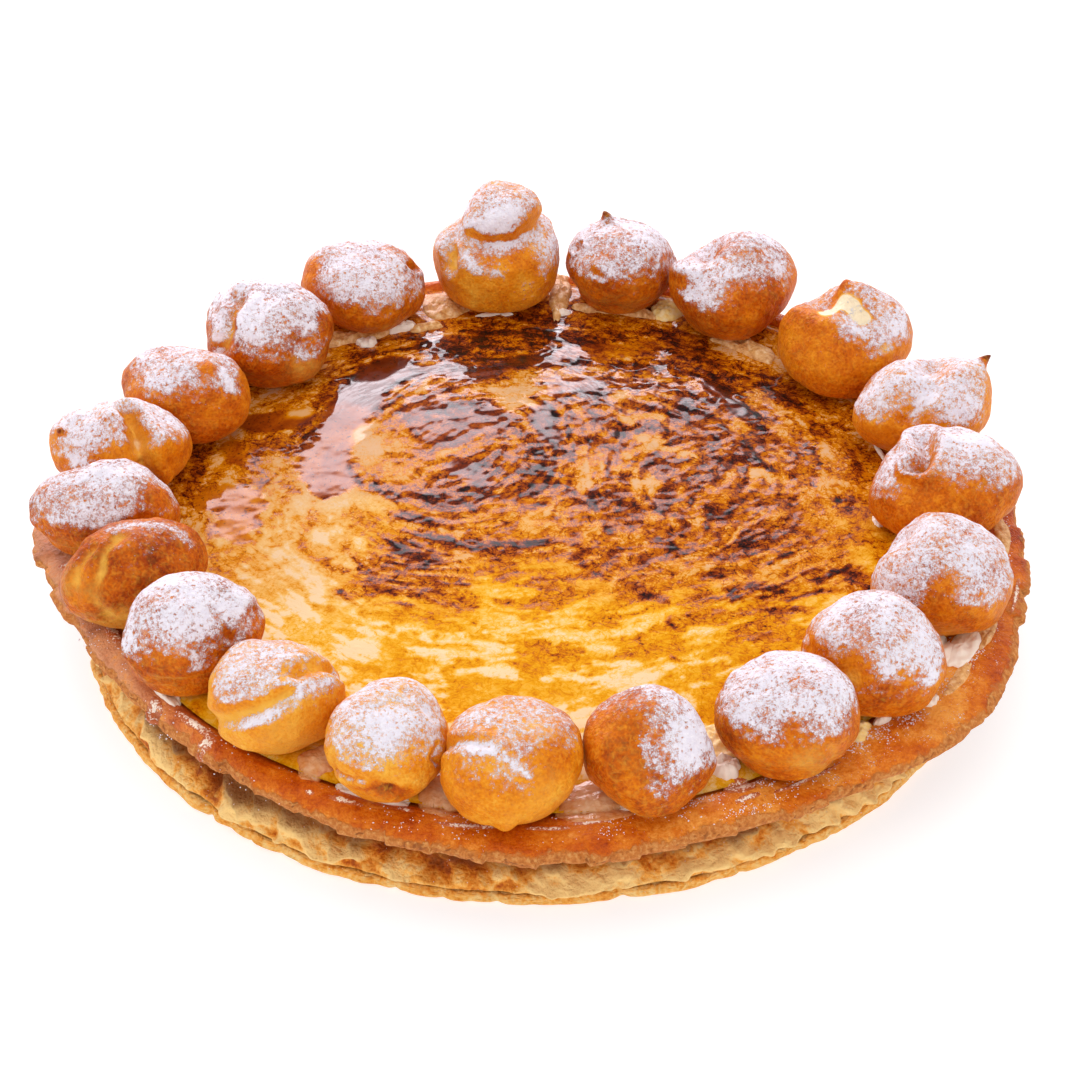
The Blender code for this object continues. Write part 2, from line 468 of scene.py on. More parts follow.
FLOOR_HALF = 6.0
floor_mesh = bpy.data.meshes.new("floor")
floor_corners = [(x * FLOOR_HALF, y * FLOOR_HALF, 0.0) for x, y in ((-1, -1), (1, -1), (1, 1), (-1, 1))]
floor_mesh.from_pydata(floor_corners, [], [(0, 1, 2, 3)])
floor = bpy.data.objects.new("floor", floor_mesh)
bpy.context.scene.collection.objects.link(floor)
floor_material, _, floor_shader = new_material("pale_floor")
floor_shader.inputs["Base Color"].default_value = (0.50, 0.46, 0.43, 1.0)
floor_shader.inputs["Roughness"].default_value = 0.9
floor_shader.inputs["Specular IOR Level"].default_value = 0.1
floor_shader.inputs["Emission Color"].default_value = (0.915, 0.96, 0.995, 1.0)
floor_shader.inputs["Emission Strength"].default_value = 0.69
floor_mesh.materials.append(floor_material)

# %% [markdown]
# ## Choux puffs
#
# A puff starts as a piped blob. In the oven its skin sets, the steam inside lifts it, and it
# cracks where it still has to grow. So each one is a ball with a flat foot, pushed about by noise,
# and then given its own marks: lobes and dents, creases where paler dough shows, and a brown tip
# where the piping nozzle let go. Sugar was sifted from above, so it lies where the skin faces up.

# %% The frame that the marks are given in
ACROSS = np.array([1.0, 0.0, 0.0])
RISE = np.array([0.0, math.sin(VIEW_DOWN), math.cos(VIEW_DOWN)])
TOWARD = np.array([0.0, -math.cos(VIEW_DOWN), math.sin(VIEW_DOWN)])
SEEN = np.stack([ACROSS, RISE, TOWARD], axis=1)
# distances to a mark count half along the line of sight, because no puff is quite a ball
DEPTH_COUNTS = np.array([1.0, 1.0, 0.5])


def on_ball(across, rise):
    """The point of a unit ball that shows at this place of its disc, as seen from the front."""
    rest = math.sqrt(max(0.0, 1.0 - across**2 - rise**2))
    return np.array([across, rise, rest]) * DEPTH_COUNTS


def along_path(seen, corners):
    """How far each point lies from a path over the ball, given by a few places on its disc."""
    path = np.array([on_ball(*corner) for corner in corners])
    path = smooth_through(path, 9 * len(path)) if len(path) > 2 else np.linspace(*path, 12)
    best = np.full(seen.shape[:-1], np.inf)
    for place in path:
        best = np.minimum(best, np.linalg.norm(seen - place, axis=-1))
    return best


# %% The profiles of a puff
FOOT_ANGLE = math.radians(-52.0)
SINGLE = [(0.0, 0.0), (0.40, 0.0)] + [
    (math.cos(a), (math.sin(a) - math.sin(FOOT_ANGLE)) / (1.0 - math.sin(FOOT_ANGLE)))
    for a in np.linspace(FOOT_ANGLE + 0.10, math.pi / 2, 12)
]
DOUBLE = [(0, 0), (0.45, 0), (0.72, 0.03), (0.95, 0.15), (1.0, 0.33), (0.93, 0.50), (0.76, 0.59)]
DOUBLE += [(0.62, 0.64), (0.565, 0.695), (0.575, 0.77), (0.51, 0.88), (0.32, 0.97), (0.0, 1.0)]
PUFF_ROWS, PUFF_COLUMNS = 96, 160
SMALLEST_RING = 0.004  # of a puff's half width, so that the poles have room


def puff_rings(node, profile):
    """A puff's rings before its marks: the profile, stretched to the sizes of the node.

    The node's own axes are the direction out from the middle of the cake and the one across it;
    its half sizes along both, and its height, scale the unit profile."""
    points = cad_points(node)
    centre = 0.5 * (points.min(axis=0) + points.max(axis=0))
    out = (centre - MIDDLE)[:2]
    out = out / np.linalg.norm(out)
    side = np.array([-out[1], out[0]])
    flat = points[:, :2] - MIDDLE[:2]
    reach, sideways = flat @ out, flat @ side
    low, high = points[:, 2].min(), points[:, 2].max()
    path = smooth_through(profile, PUFF_ROWS)
    path[:, 0] = np.maximum(path[:, 0], SMALLEST_RING)
    turn = np.linspace(0, 2 * np.pi, PUFF_COLUMNS, endpoint=False)
    a = path[:, 0:1] * np.cos(turn) * 0.5 * np.ptp(reach) + 0.5 * (reach.max() + reach.min())
    b = path[:, 0:1] * np.sin(turn) * 0.5 * np.ptp(sideways) + 0.5 * (sideways.max() + sideways.min())
    rings = np.empty((PUFF_ROWS, PUFF_COLUMNS, 3))
    rings[..., :2] = a[..., None] * out + b[..., None] * side + MIDDLE[:2]
    rings[..., 2] = low + path[:, 1:2] * (high - low)
    return rings, centre, high - low


# %% [markdown]
# The marks of each puff follow. Places are given on its disc as seen from the front: across from
# -1 at the left to 1 at the right, and rise from -1 at the bottom to 1 at the top. Spreads are in
# the same unit, depths in millimetres, outwards if positive. The kinds of mark are:
#
# - lobe: across, rise, spread, depth. tip: across, rise, spread, depth, how far it leans.
# - crease and torn: path, spread, depth, how much pale dough shows, change of the sugar.
# - mouth: path, spread, depth of an opening, painted dark along it with shade. line: path, spread, change of
#   the sugar.
# - sugar and tint: across, rise, spread, change of the sugar or of the pale dough.
# - shift: what is above this rise moves across by so many millimetres.

# %% The marks of each puff
# puff: (how dark, how much sugar, how low it reaches, marks)
PUFF_LOOKS = {
    "puff_01": (0.40, 0.86, 0.05, (
        ("shift", 0.42, 2.8),
        ("sugar", 0.0, 0.30, 0.30, 0.45),
        ("line", ((-0.55, 0.28), (-0.2, 0.16), (0.2, 0.10), (0.6, 0.20)), 0.12, 0.7),
        ("crease", ((-0.66, 0.30), (-0.72, 0.0), (-0.74, -0.28)), 0.09, -2.0, 0.9, -0.6),
        ("lobe", -0.92, 0.02, 0.28, 1.6),
        ("sugar", 0.1, 0.22, 0.22, 0.5),
        ("line", ((-0.48, -0.12), (-0.36, -0.34), (0.1, -0.48)), 0.08, 0.5),
        ("sugar", 0.45, -0.25, 0.30, -0.5),
        ("sugar", -0.2, -0.75, 0.5, -0.6),
        ("lobe", 0.45, 0.72, 0.25, 0.6),
    )),
    "puff_02": (0.62, 0.95, 0.25, (
        ("tip", -0.24, 0.93, 0.085, 5.0, -0.5),
        ("crease", ((-0.85, 0.30), (-0.78, 0.42)), 0.05, -0.8, 0.1, -0.2),
        ("crease", ((-0.62, 0.44), (-0.40, 0.52)), 0.05, -0.8, 0.1, -0.2),
        ("crease", ((-0.60, -0.02), (-0.50, -0.22), (-0.30, -0.34)), 0.05, -0.5, 0.2, -0.2),
        ("lobe", 0.0, -0.55, 0.30, -0.5),
    )),
    "puff_03": (0.62, 0.95, 0.38, (
        ("lobe", -0.42, 0.86, 0.30, -6.6),
        ("lobe", 0.30, 0.76, 0.40, 2.6),
        ("lobe", -0.84, 0.34, 0.28, 3.0),
        ("tip", -0.21, 0.66, 0.09, 5.2, 0.0),
        ("sugar", 0.30, -0.30, 0.40, -0.6),
        ("sugar", -0.60, -0.25, 0.30, 0.35),
        ("lobe", 0.35, -0.42, 0.22, -0.7),
    )),
    "puff_04": (0.50, 0.85, 0.42, (
        ("lobe", -0.36, 0.86, 0.24, -4.6),
        ("lobe", -0.84, 0.46, 0.26, 1.4),
        ("torn", ((-0.36, 0.60), (-0.1, 0.68), (0.10, 0.62), (0.22, 0.46)), 0.17, -1.6, 0.2, -0.7),
        ("tip", -0.03, 0.93, 0.09, 5.5, 0.3),
        ("lobe", 0.14, 0.84, 0.26, 2.6),
        ("sugar", -0.70, 0.0, 0.50, -1.0),
        ("sugar", 0.05, 0.12, 0.20, 0.4),
        ("sugar", 0.05, -0.35, 0.4, -0.5),
        ("tint", 0.56, -0.20, 0.12, 0.8),
        ("sugar", 0.80, 0.1, 0.35, 0.4),
    )),
    "puff_05": (0.42, 0.95, 0.30, (
        ("lobe", 0.16, 0.88, 0.26, -4.4),
        ("lobe", 0.08, 0.50, 0.22, -1.6),
        ("crease", ((0.04, 0.30), (-0.10, 0.0), (-0.24, -0.33)), 0.13, -1.3, 0.0, 0.30),
        ("lobe", -0.45, 0.55, 0.42, 1.8),
        ("lobe", 0.64, 0.50, 0.34, 2.6),
        ("tip", 0.74, 0.66, 0.06, 4.0, 0.3),
        ("sugar", -0.25, -0.45, 0.40, -0.5),
        ("sugar", 0.65, -0.3, 0.35, 0.4),
    )),
    "puff_06": (0.54, 1.0, 0.30, (
        ("crease", ((-0.34, 0.92), (-0.28, 0.66), (-0.42, 0.40)), 0.12, -5.0, 0.3, -0.3),
        ("lobe", 0.25, 0.60, 0.50, 1.2),
        ("lobe", -0.12, 0.86, 0.12, 1.2),
        ("lobe", 0.62, 0.36, 0.30, 0.8),
        ("sugar", -0.24, -0.45, 0.50, -1.3),
        ("sugar", 0.30, -0.60, 0.40, -0.7),
    )),
    "puff_07": (0.52, 0.95, 0.12, (
        ("lobe", -0.62, 0.74, 0.22, -1.6),
        ("lobe", -0.05, -0.06, 0.18, -1.0),
        ("sugar", -0.05, -0.10, 0.22, -0.55),
        ("sugar", -0.15, -0.45, 0.25, -0.5),
        ("sugar", 0.15, -0.88, 0.35, -0.7),
        ("line", ((0.20, -0.20), (0.26, -0.50), (0.30, -0.68)), 0.06, 0.25),
    )),
    "puff_08": (0.55, 1.0, 0.28, (
        ("lobe", -0.85, -0.10, 0.40, -2.0),
        ("lobe", 0.35, 0.30, 0.60, 0.9),
        ("sugar", -0.45, -0.25, 0.40, -0.6),
        ("tint", -0.35, -0.38, 0.16, 0.5),
        ("line", ((-0.35, -0.55), (0.0, -0.62), (0.35, -0.72)), 0.08, 0.4),
        ("sugar", 0.75, -0.35, 0.25, 0.3),
    )),
    "puff_09": (0.60, 1.0, 0.32, (
        ("crease", ((0.58, -0.40), (0.62, -0.54), (0.58, -0.68)), 0.08, -1.3, 0.5, 0.9),
        ("sugar", 0.05, -0.12, 0.14, -0.4),
        ("sugar", -0.25, -0.75, 0.40, -0.5),
        ("line", ((-0.35, -0.70), (-0.20, -0.78)), 0.06, 0.5),
        ("tint", 0.2, -0.62, 0.28, 0.45),
    )),
    "puff_10": (0.60, 0.95, 0.15, (
        ("sugar", -0.60, 0.20, 0.60, -0.75),
        ("sugar", -0.45, -0.40, 0.50, -0.6),
        ("sugar", 0.75, 0.20, 0.45, 0.45),
        ("crease", ((-0.55, -0.38), (-0.40, -0.36)), 0.04, -0.9, 0.0, 0.3),
        ("crease", ((-0.9, -0.20), (-0.75, -0.22)), 0.04, -0.5, 0.0, 0.2),
        ("line", ((-0.15, 0.20), (-0.10, -0.05), (0.10, -0.20)), 0.08, 0.45),
        ("line", ((0.0, -0.62), (0.20, -0.80)), 0.06, 0.5),
        ("sugar", 0.75, -0.65, 0.18, 0.9),
    )),
    "puff_11": (0.40, 0.80, 0.48, (
        ("crease", ((-0.97, 0.18), (-0.80, 0.30), (-0.62, 0.33), (-0.36, 0.30)), 0.08, -1.2, 0.3, 0.2),
        ("line", ((-0.60, 0.26), (-0.20, 0.16), (0.05, 0.0), (0.25, -0.20)), 0.10, 0.50),
        ("lobe", -0.10, -0.92, 0.14, 1.6),
        ("crease", ((-0.10, -0.80), (0.30, -0.78), (0.60, -0.62)), 0.06, -0.6, 0.5, 0.0),
        ("tint", 0.35, -0.45, 0.40, 0.35),
        ("sugar", 0.60, 0.1, 0.40, -0.4),
    )),
    "puff_12": (0.30, 0.92, 0.30, (
        ("mouth", ((-0.80, -0.42), (-0.55, -0.53), (-0.25, -0.58), (0.15, -0.76), (0.25, -0.82)), 0.09,
            -2.0),
        ("crease", ((0.80, -0.05), (0.74, -0.22), (0.80, -0.35)), 0.06, -0.7, 0.0, 0.5),
        ("crease", ((0.30, 0.86), (0.60, 0.60), (0.75, 0.40)), 0.06, -0.9, 0.0, 0.4),
        ("sugar", 0.0, 0.15, 0.35, 0.25),
        ("sugar", 0.30, -0.35, 0.35, -0.25),
    )),
    "puff_13": (0.34, 0.85, 0.40, (
        ("crease", ((0.32, 0.40), (0.62, 0.52), (0.88, 0.42)), 0.12, -2.0, 0.2, -0.5),
        ("crease", ((0.20, 0.02), (-0.15, -0.17), (-0.50, -0.30), (-0.90, -0.36)), 0.11, -1.5, 0.8, -0.4),
        ("line", ((0.85, 0.18), (0.35, 0.08), (0.0, -0.20), (-0.40, -0.44)), 0.10, 0.45),
        ("crease", ((0.15, 0.60), (0.12, 0.30)), 0.08, -0.6, 0.6, -0.5),
        ("tint", 0.1, -0.6, 0.5, 0.45),
        ("sugar", 0.45, -0.45, 0.4, -0.3),
    )),
    "puff_14": (0.66, 0.98, 0.22, (
        ("crease", ((-0.92, -0.30), (-0.70, -0.62), (-0.30, -0.78), (0.20, -0.80), (0.50, -0.72)), 0.07,
            -1.0, 0.25, 0.0),
        ("lobe", 0.80, 0.46, 0.14, 1.0),
        ("crease", ((0.42, 0.42), (0.60, 0.10), (0.72, -0.12)), 0.05, -0.5, 0.0, -0.25),
        ("sugar", -0.35, -0.50, 0.25, -0.45),
        ("line", ((-0.42, -0.42), (-0.34, -0.52)), 0.05, 0.6),
        ("line", ((0.15, -0.30), (0.22, -0.55), (0.10, -0.68)), 0.05, 0.5),
    )),
    "puff_15": (0.70, 0.42, 0.66, (
        ("crease", ((-0.10, 0.70), (-0.32, 0.42), (-0.36, 0.05), (-0.46, -0.40), (-0.30, -0.80)), 0.07,
            -0.9, 0.55, -0.3),
        ("crease", ((-0.50, 0.50), (-0.66, 0.20), (-0.70, -0.10)), 0.07, -0.7, 0.45, -0.2),
        ("tint", -0.75, -0.25, 0.30, 0.35),
        ("line", ((-0.30, 0.85), (0.1, 0.93), (0.60, 0.72), (0.80, 0.50)), 0.09, 0.45),
        ("tint", -0.1, -0.85, 0.35, 0.5),
    )),
    "puff_16": (0.64, 0.98, 0.18, (
        ("sugar", 0.76, 0.20, 0.26, -0.75),
        ("crease", ((-0.95, -0.35), (-0.66, -0.72), (-0.30, -0.86)), 0.09, -1.4, 0.5, -0.3),
        ("lobe", 0.40, 0.70, 0.35, 0.6),
    )),
    "puff_17": (0.48, 0.95, 0.32, (
        ("crease", ((0.10, 0.80), (0.24, 0.52), (0.33, 0.12), (0.36, -0.30), (0.42, -0.62)), 0.11,
            -5.2, 0.95, -0.9),
        ("lobe", 0.70, 0.10, 0.30, 2.4),
        ("lobe", -0.25, 0.45, 0.40, 1.2),
        ("tip", -0.84, 0.36, 0.06, 1.4, 0.0),
        ("sugar", 0.0, -0.40, 0.35, -0.7),
        ("sugar", 0.90, -0.20, 0.25, -0.6),
        ("sugar", -0.60, -0.30, 0.25, 0.25),
    )),
    "puff_18": (0.58, 0.95, 0.56, (
        ("lobe", 0.40, 0.40, 0.15, 0.9),
        ("sugar", 0.40, 0.40, 0.13, -0.6),
        ("line", ((0.52, 0.46), (0.66, 0.28), (0.74, 0.02)), 0.06, 0.6),
        ("lobe", 0.72, 0.62, 0.16, 0.7),
        ("line", ((-0.85, 0.0), (-0.80, -0.20)), 0.10, 0.3),
    )),
    "puff_19": (0.68, 1.10, 0.34, (
        ("crease", ((-0.42, 0.62), (-0.55, 0.36), (-0.56, 0.0), (-0.62, -0.28)), 0.12, -2.0, 0.4, -0.5),
        ("lobe", -0.44, 0.84, 0.12, 1.7),
        ("lobe", -0.68, 0.44, 0.10, 1.2),
        ("lobe", -0.58, 0.66, 0.10, -1.4),
        ("tip", -0.40, 0.72, 0.05, 0.9, 0.0),
        ("tip", -0.70, 0.44, 0.04, 0.9, 0.0),
        ("tint", -0.74, -0.05, 0.16, 0.6),
        ("tint", 0.55, -0.60, 0.28, 0.5),
        ("sugar", 0.85, 0.20, 0.15, -0.4),
    )),
    "puff_20": (0.58, 0.95, 0.20, (
        ("crease", ((0.52, 0.80), (0.66, 0.62), (0.90, 0.40)), 0.08, -1.7, 0.2, -0.3),
        ("sugar", 0.86, 0.52, 0.12, -0.6),
        ("sugar", -0.92, 0.10, 0.30, -0.6),
        ("crease", ((-0.60, -0.66), (-0.20, -0.80), (0.30, -0.76)), 0.05, -0.7, 0.0, 0.3),
        ("line", ((-0.52, -0.66), (-0.20, -0.74), (0.0, -0.74)), 0.04, 0.6),
        ("sugar", 0.0, -0.95, 0.30, -0.7),
        ("tip", 0.72, 0.30, 0.05, 0.7, 0.0),
    )),
}

# %% [markdown]
# Puffs that touch press each other flat. For each neighbour there is a plane between the two, and
# what passes it is pulled back softly, so the touching sides look squeezed and never cross.

# %% Building a puff
PUFF_CENTRES = {node: np.mean(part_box(node), axis=0) for node in PUFF_NODES}
LUMP, LUMP_SIZE = 2.1 * MM, 17 * MM
DIMPLE, DIMPLE_SIZE = 0.60 * MM, 6 * MM
WRINKLE, WRINKLE_SIZE = 0.20 * MM, 2.6 * MM
TOUCH_GAP, TOUCH_SOFTNESS = 0.1 * MM, 0.35 * MM
# baking rounds the marks off, so they are made deeper than they are given
LOBE_GAIN, CREASE_GAIN, BANK_GAIN, MOUTH_GAIN = 1.35, 1.25, 0.40, 1.4
DOUBLE_CALM = 0.4  # the double puff is less lumpy
TORN_TINT, TIP_BROWN, TIP_BARE = 2.0, 0.9, 2.0


def squeezed(points, node):
    """Pulls back what passes the plane between this puff and each of its two neighbours."""
    index = PUFF_NODES.index(node)
    own = PUFF_CENTRES[node]
    for step in (-1, 1):
        other = PUFF_NODES[(index + step) % len(PUFF_NODES)]
        reach = PUFF_CENTRES[other] - own
        reach[2] = 0.0
        gap = np.linalg.norm(reach)
        toward = reach / gap
        own_side = ((cad_points(node) - own) @ toward).max()
        other_side = ((own + reach - cad_points(other)) @ toward).max()
        plane = gap * own_side / (own_side + other_side) - TOUCH_GAP
        past = (points - own) @ toward - plane
        pulled = TOUCH_SOFTNESS * np.log1p(np.exp(np.clip(past / TOUCH_SOFTNESS, -30, 30)))
        points = points - pulled[..., None] * toward
    return points


def normals_of(rings):
    """Unit normals of a grid of rings, from the cross product of the steps along and round it."""
    around_ring = np.roll(rings, -1, axis=1) - np.roll(rings, 1, axis=1)
    up_ring = np.gradient(rings, axis=0)
    cross = np.cross(around_ring, up_ring)
    return cross / np.maximum(np.linalg.norm(cross, axis=-1, keepdims=True), 1e-12)


def puff_surface(node, seed):
    """A puff's rings with its marks, and its tone, sugar and tint at each point.

    A mark moves a point along its normal by gain * depth * exp(-(distance / spread)^2), where
    the distance is measured on the puff scaled to a unit ball."""
    tone, sugar_most, sugar_low, marks = PUFF_LOOKS[node]
    rings, centre, height = puff_rings(node, DOUBLE if node == "puff_01" else SINGLE)
    seen = (rings - centre) @ SEEN
    low, high = seen.min(axis=(0, 1)), seen.max(axis=(0, 1))
    seen = (seen - 0.5 * (low + high)) / (0.5 * (high - low)) * DEPTH_COUNTS
    out = normals_of(rings)
    lump = LUMP * (DOUBLE_CALM if node == "puff_01" else 1.0)
    grown = lump * noise(rings, LUMP_SIZE, seed) + DIMPLE * noise(rings, DIMPLE_SIZE, seed + 1, 2)
    grown += WRINKLE * noise(rings, WRINKLE_SIZE, seed + 2, 2)
    shade = np.full(rings.shape[:2], tone) + 0.10 * noise(rings, 9 * MM, seed + 3, 2)
    tint = np.zeros(rings.shape[:2])
    extra = np.zeros(rings.shape[:2])
    lean = np.zeros(rings.shape)
    wander = 0.05 * noise(rings, 5 * MM, seed + 4, 2)
    for kind, where, *numbers in marks:
        if kind == "shift":
            moved = numbers[0] * MM * ease(where - 0.25, where + 0.25, seen[..., 1])
            lean += moved[..., None] * ACROSS
            continue
        if isinstance(where, tuple):
            distance = along_path(seen, where) + wander
            spread, *amounts = numbers
        else:
            rise, spread, *amounts = numbers
            distance = np.linalg.norm(seen - on_ball(where, rise), axis=-1)
        amount = amounts[0]
        bell = swell(distance, spread)
        if kind == "lobe":
            grown += LOBE_GAIN * amount * MM * bell
        elif kind in ("crease", "torn"):
            grown += CREASE_GAIN * amount * MM * bell
            grown -= BANK_GAIN * amount * MM * swell(distance - 2 * spread, spread)
            tint += amounts[1] * swell(distance, 0.9 * spread)
            extra += amounts[2] * swell(distance, 0.8 * spread)
            if kind == "torn":
                tint += TORN_TINT * ease(1.15 * spread, 0.75 * spread, distance)
        elif kind == "mouth":
            grown += MOUTH_GAIN * amount * MM * bell
            below = ease(0.0, 0.12, (np.array(where)[:, 1].mean() - seen[..., 1]))
            shade += 0.55 * below * swell(distance, 2.2 * spread)
            # painted shade: a dark line along the opening
            shade += 0.9 * swell(distance, 0.5 * spread)
            extra -= below
        elif kind in ("line", "sugar"):
            extra += amount * bell
        elif kind == "tint":
            tint += amount * bell
        elif kind == "tip":
            grown += amount * MM * bell**0.7
            lean += (amounts[1] * amount * MM * bell**2)[..., None] * ACROSS
            shade += TIP_BROWN * bell
            extra -= TIP_BARE * swell(distance, 0.9 * spread)
    foot = ease(0.02, 0.16, (rings[..., 2] - PUFF_SEAT) / height)
    rings = squeezed(rings + out * (grown * foot)[..., None] + lean, node)
    rings[..., 2] = np.maximum(rings[..., 2], PUFF_SEAT)
    facing = normals_of(rings)[..., 2]
    cover = sugar_most * ease(sugar_low - 0.40, sugar_low + 0.42, facing)
    cover = cover * (0.86 + 0.22 * noise(rings, 7 * MM, seed + 5, 2)) + extra * ease(-0.2, 0.2, facing)
    belly = ease(0.0, -0.9, facing + 0.25 * noise(rings, 9 * MM, seed + 7))
    tint = tint + 0.30 * belly + 0.12 * noise(rings, 8 * MM, seed + 6)
    return rings, {"tone": shade, "sugar": cover, "tint": np.clip(tint, 0.0, 1.5)}


# %% [markdown]
# ### The skin of a puff
#
# The skin goes from pale gold to red brown. Fine mottling comes from a cell texture about a
# millimetre wide, because that is how the skin blisters. Sugar is a mask: where its cover is
# high only small pits stay open, and where it is thin only specks lie on the skin.

# %% Choux material
choux, tree, shader = new_material("choux")
place = add(tree, "TexCoord").outputs["Object"]
blisters, pit_cells = (
    add(tree, "TexVoronoi", {"Vector": place, "Scale": 1.0 / size}).outputs["Distance"]
    for size in (1.0 * MM, 1.9 * MM)
)
mottle = grain(tree, 2.6 * MM, 4.0)
fine_mottle = grain(tree, 0.7 * MM, 3.0)
patches = grain(tree, 8 * MM, 2.0)
tone = sum_of(
    tree, reading(tree, "tone"), (patches, 0.46), (mottle, 0.42), (fine_mottle, 0.30),
    (blisters, -0.20), -0.40
)
skin = ramp(tree, tone, (
    (0.00, (250, 208, 118)), (0.22, (244, 178, 62)), (0.44, (232, 138, 18)),
    (0.64, (208, 102, 6)), (0.84, (168, 66, 4)), (1.00, (116, 38, 6)),
))
tinting = sum_of(tree, reading(tree, "tint"), (mottle, 0.7), (fine_mottle, 0.3), -0.5)
tinting = window(tree, tinting, 0.0, 0.9)
skin = blend(tree, times(tree, tinting, 0.85), skin, (247, 190, 80))
wisps = window(tree, grain(tree, 1.7 * MM, 4.0, distortion=0.7), 0.44, 0.74)
skin = blend(tree, times(tree, wisps, 0.35), skin, (244, 170, 52))
torn = window(tree, reading(tree, "tint"), 0.85, 1.3)
skin = blend(tree, torn, skin, (250, 230, 196))
clumps = grain(tree, 1.5 * MM, 2.0)
crystals = grain(tree, 0.45 * MM, 2.0)
density = sum_of(tree, reading(tree, "sugar"), (clumps, 1.0), (blisters, -0.25), -0.41)
specks = window(tree, sum_of(tree, crystals, (density, 0.62)), 0.84, 1.06)
film = window(tree, density, 0.30, 1.05)
pits = times(tree, window(tree, sum_of(tree, pit_cells, (crystals, 0.7), (density, 0.30)), 0.94, 0.62), 0.85)
bare = times(tree, sum_of(tree, (specks, -0.96), 1.0), sum_of(tree, (film, -0.74), 1.0))
sugared = times(tree, sum_of(tree, (bare, -1.0), 1.0), sum_of(tree, (pits, -1.0), 1.0))
sugar_tone = blend(tree, grain(tree, 1.2 * MM), (250, 245, 250), (226, 217, 233))
colour = blend(tree, sugared, skin, sugar_tone)
rough = sum_of(tree, (sugared, 0.40), (fine_mottle, 0.20), 0.30)
height = sum_of(
    tree, (crystals, 0.35), (clumps, 0.4), (sugared, 0.6), (blisters, -0.35), (mottle, 0.9),
    (wisps, 0.35), (fine_mottle, 0.4)
)
finish_material(tree, shader, colour, rough, height, 0.45 * MM, specular_ior_level=0.10)

# %% Puffs
for order, node in enumerate(PUFF_NODES):
    rings, values = puff_surface(node, 40 + 10 * order)
    faces = ring_faces(PUFF_ROWS, PUFF_COLUMNS)
    mesh_piece("choux_" + node, with_poles(rings), faces, choux, pole_values(values), (node,))

# %% [markdown]
# ## The puff pastry base
#
# Two sheets of puff pastry lie under the cake. The lower one is flat and shows as a thin edge with
# a dark slit above it. The upper one swells over it in folds, because the baker pinched it all
# round. Turning one profile would give a machined ring, so every ring is bent by noise that
# depends on the bearing, and by a row of pinches.

# %% Base surface
BASE_COLUMNS = 1000
SLIT_HEIGHT = 4.3 * MM
FLUTES, PINCHES = 22, 58
# the stretch at the front right where the folds are close and even: its middle, half width, waves
PLEATS_AT, PLEATS_REACH, PLEATS = math.radians(-47), math.radians(17), 105


def stacked_profile(under, edge, edge_rows, over):
    """A profile in three stretches: a coarse underside, a fine edge and a coarse top.

    Each stretch is a list of (reach, height) in millimetres; only the edge is smoothed."""
    fine = smooth_through(np.array(edge, dtype=float), edge_rows)
    return np.concatenate([np.array(under, dtype=float), fine, np.array(over, dtype=float)]) * MM


def bearing_noise(bearing, length, seed, octaves=2, second=0.0):
    """Noise round the edge, in waves of the given length; it closes on itself.

    The bearing is turned into a place on a circle of the base's radius, so there is no seam."""
    x, y = BASE_RADIUS * np.cos(bearing), BASE_RADIUS * np.sin(bearing)
    return noise(np.stack([x, y, second + 0.0 * bearing], axis=-1), length, seed, octaves)


def pushed_out(rings, reach, moved):
    """Moves each point of the rings outwards, and the rings to the middle of the cake."""
    factor = 1.0 + moved / np.maximum(reach, 1 * MM)
    rings[..., :2] = MIDDLE[:2] + rings[..., :2] * factor[..., None]


base_path = stacked_profile(
    [(0.5, 0), (70, 0), (120, 0)],
    [(131, 0), (135.5, 0.1), (138.2, 0.7), (139.0, 1.8), (138.8, 3.0), (138.0, 3.8), (136.6, 4.15),
        (136.8, 4.5), (138.0, 4.9), (138.7, 5.6), (138.0, 6.6), (136.4, 8.2), (133.4, 10.6),
        (129.6, 13.6), (125.6, 16.4), (121, 18.8), (115, 20.0)],
    84,
    [(105, 20), (60, 20), (0.5, 20)],
)
rings, bearing = turned(base_path, BASE_COLUMNS)
reach, height = np.hypot(rings[..., 0], rings[..., 1]), rings[..., 2]
# 1 where each part is and 0 elsewhere: the side as a whole, the swollen upper sheet and the
# thin lower one
on_side = ease(118 * MM, 130 * MM, reach)
on_dome = ease(SLIT_HEIGHT, SLIT_HEIGHT + 1.6 * MM, height) * on_side
on_sheet = ease(SLIT_HEIGHT, SLIT_HEIGHT - 0.8 * MM, height) * on_side
climb = height - SLIT_HEIGHT

fold = np.cos(FLUTES * bearing + 1.3 * np.sin(3 * bearing))
slanted = bearing + 0.9 * climb / BASE_RADIUS
crease = bearing_noise(slanted, 7.5 * MM, 3, 2, 0.5 * climb)
ridges = 1.0 - 2.4 * np.abs(crease)
broad = bearing_noise(slanted, 22 * MM, 4, 2, 0.8 * climb)
blister = noise(rings, 7.5 * MM, 5, 3)
rolls = bearing_noise(slanted, 9 * MM, 12, 3, 2.2 * climb)
bubble = np.maximum(noise(rings, 3.4 * MM, 9, 1), 0.0) ** 2
rng = np.random.default_rng(11)
pinches = np.sort(rng.uniform(-np.pi, np.pi, PINCHES))
pinch_spread = rng.uniform(1.8, 4.2, PINCHES) * MM
pinch_depth = rng.uniform(1.0, 3.6, PINCHES) * MM
pinch_climb = rng.uniform(4.0, 11.0, PINCHES) * MM
pinch = np.zeros(bearing.shape)
notch = np.zeros(bearing.shape)
for place, spread, depth, up in zip(pinches, pinch_spread, pinch_depth, pinch_climb):
    sideways = np.angle(np.exp(1j * (bearing + 0.5 * climb / BASE_RADIUS - place))) * BASE_RADIUS
    pinch += depth * swell(sideways, spread) * swell(climb - up, 3.2 * MM)
    notch += 0.3 * depth * swell(sideways, 0.5 * spread)

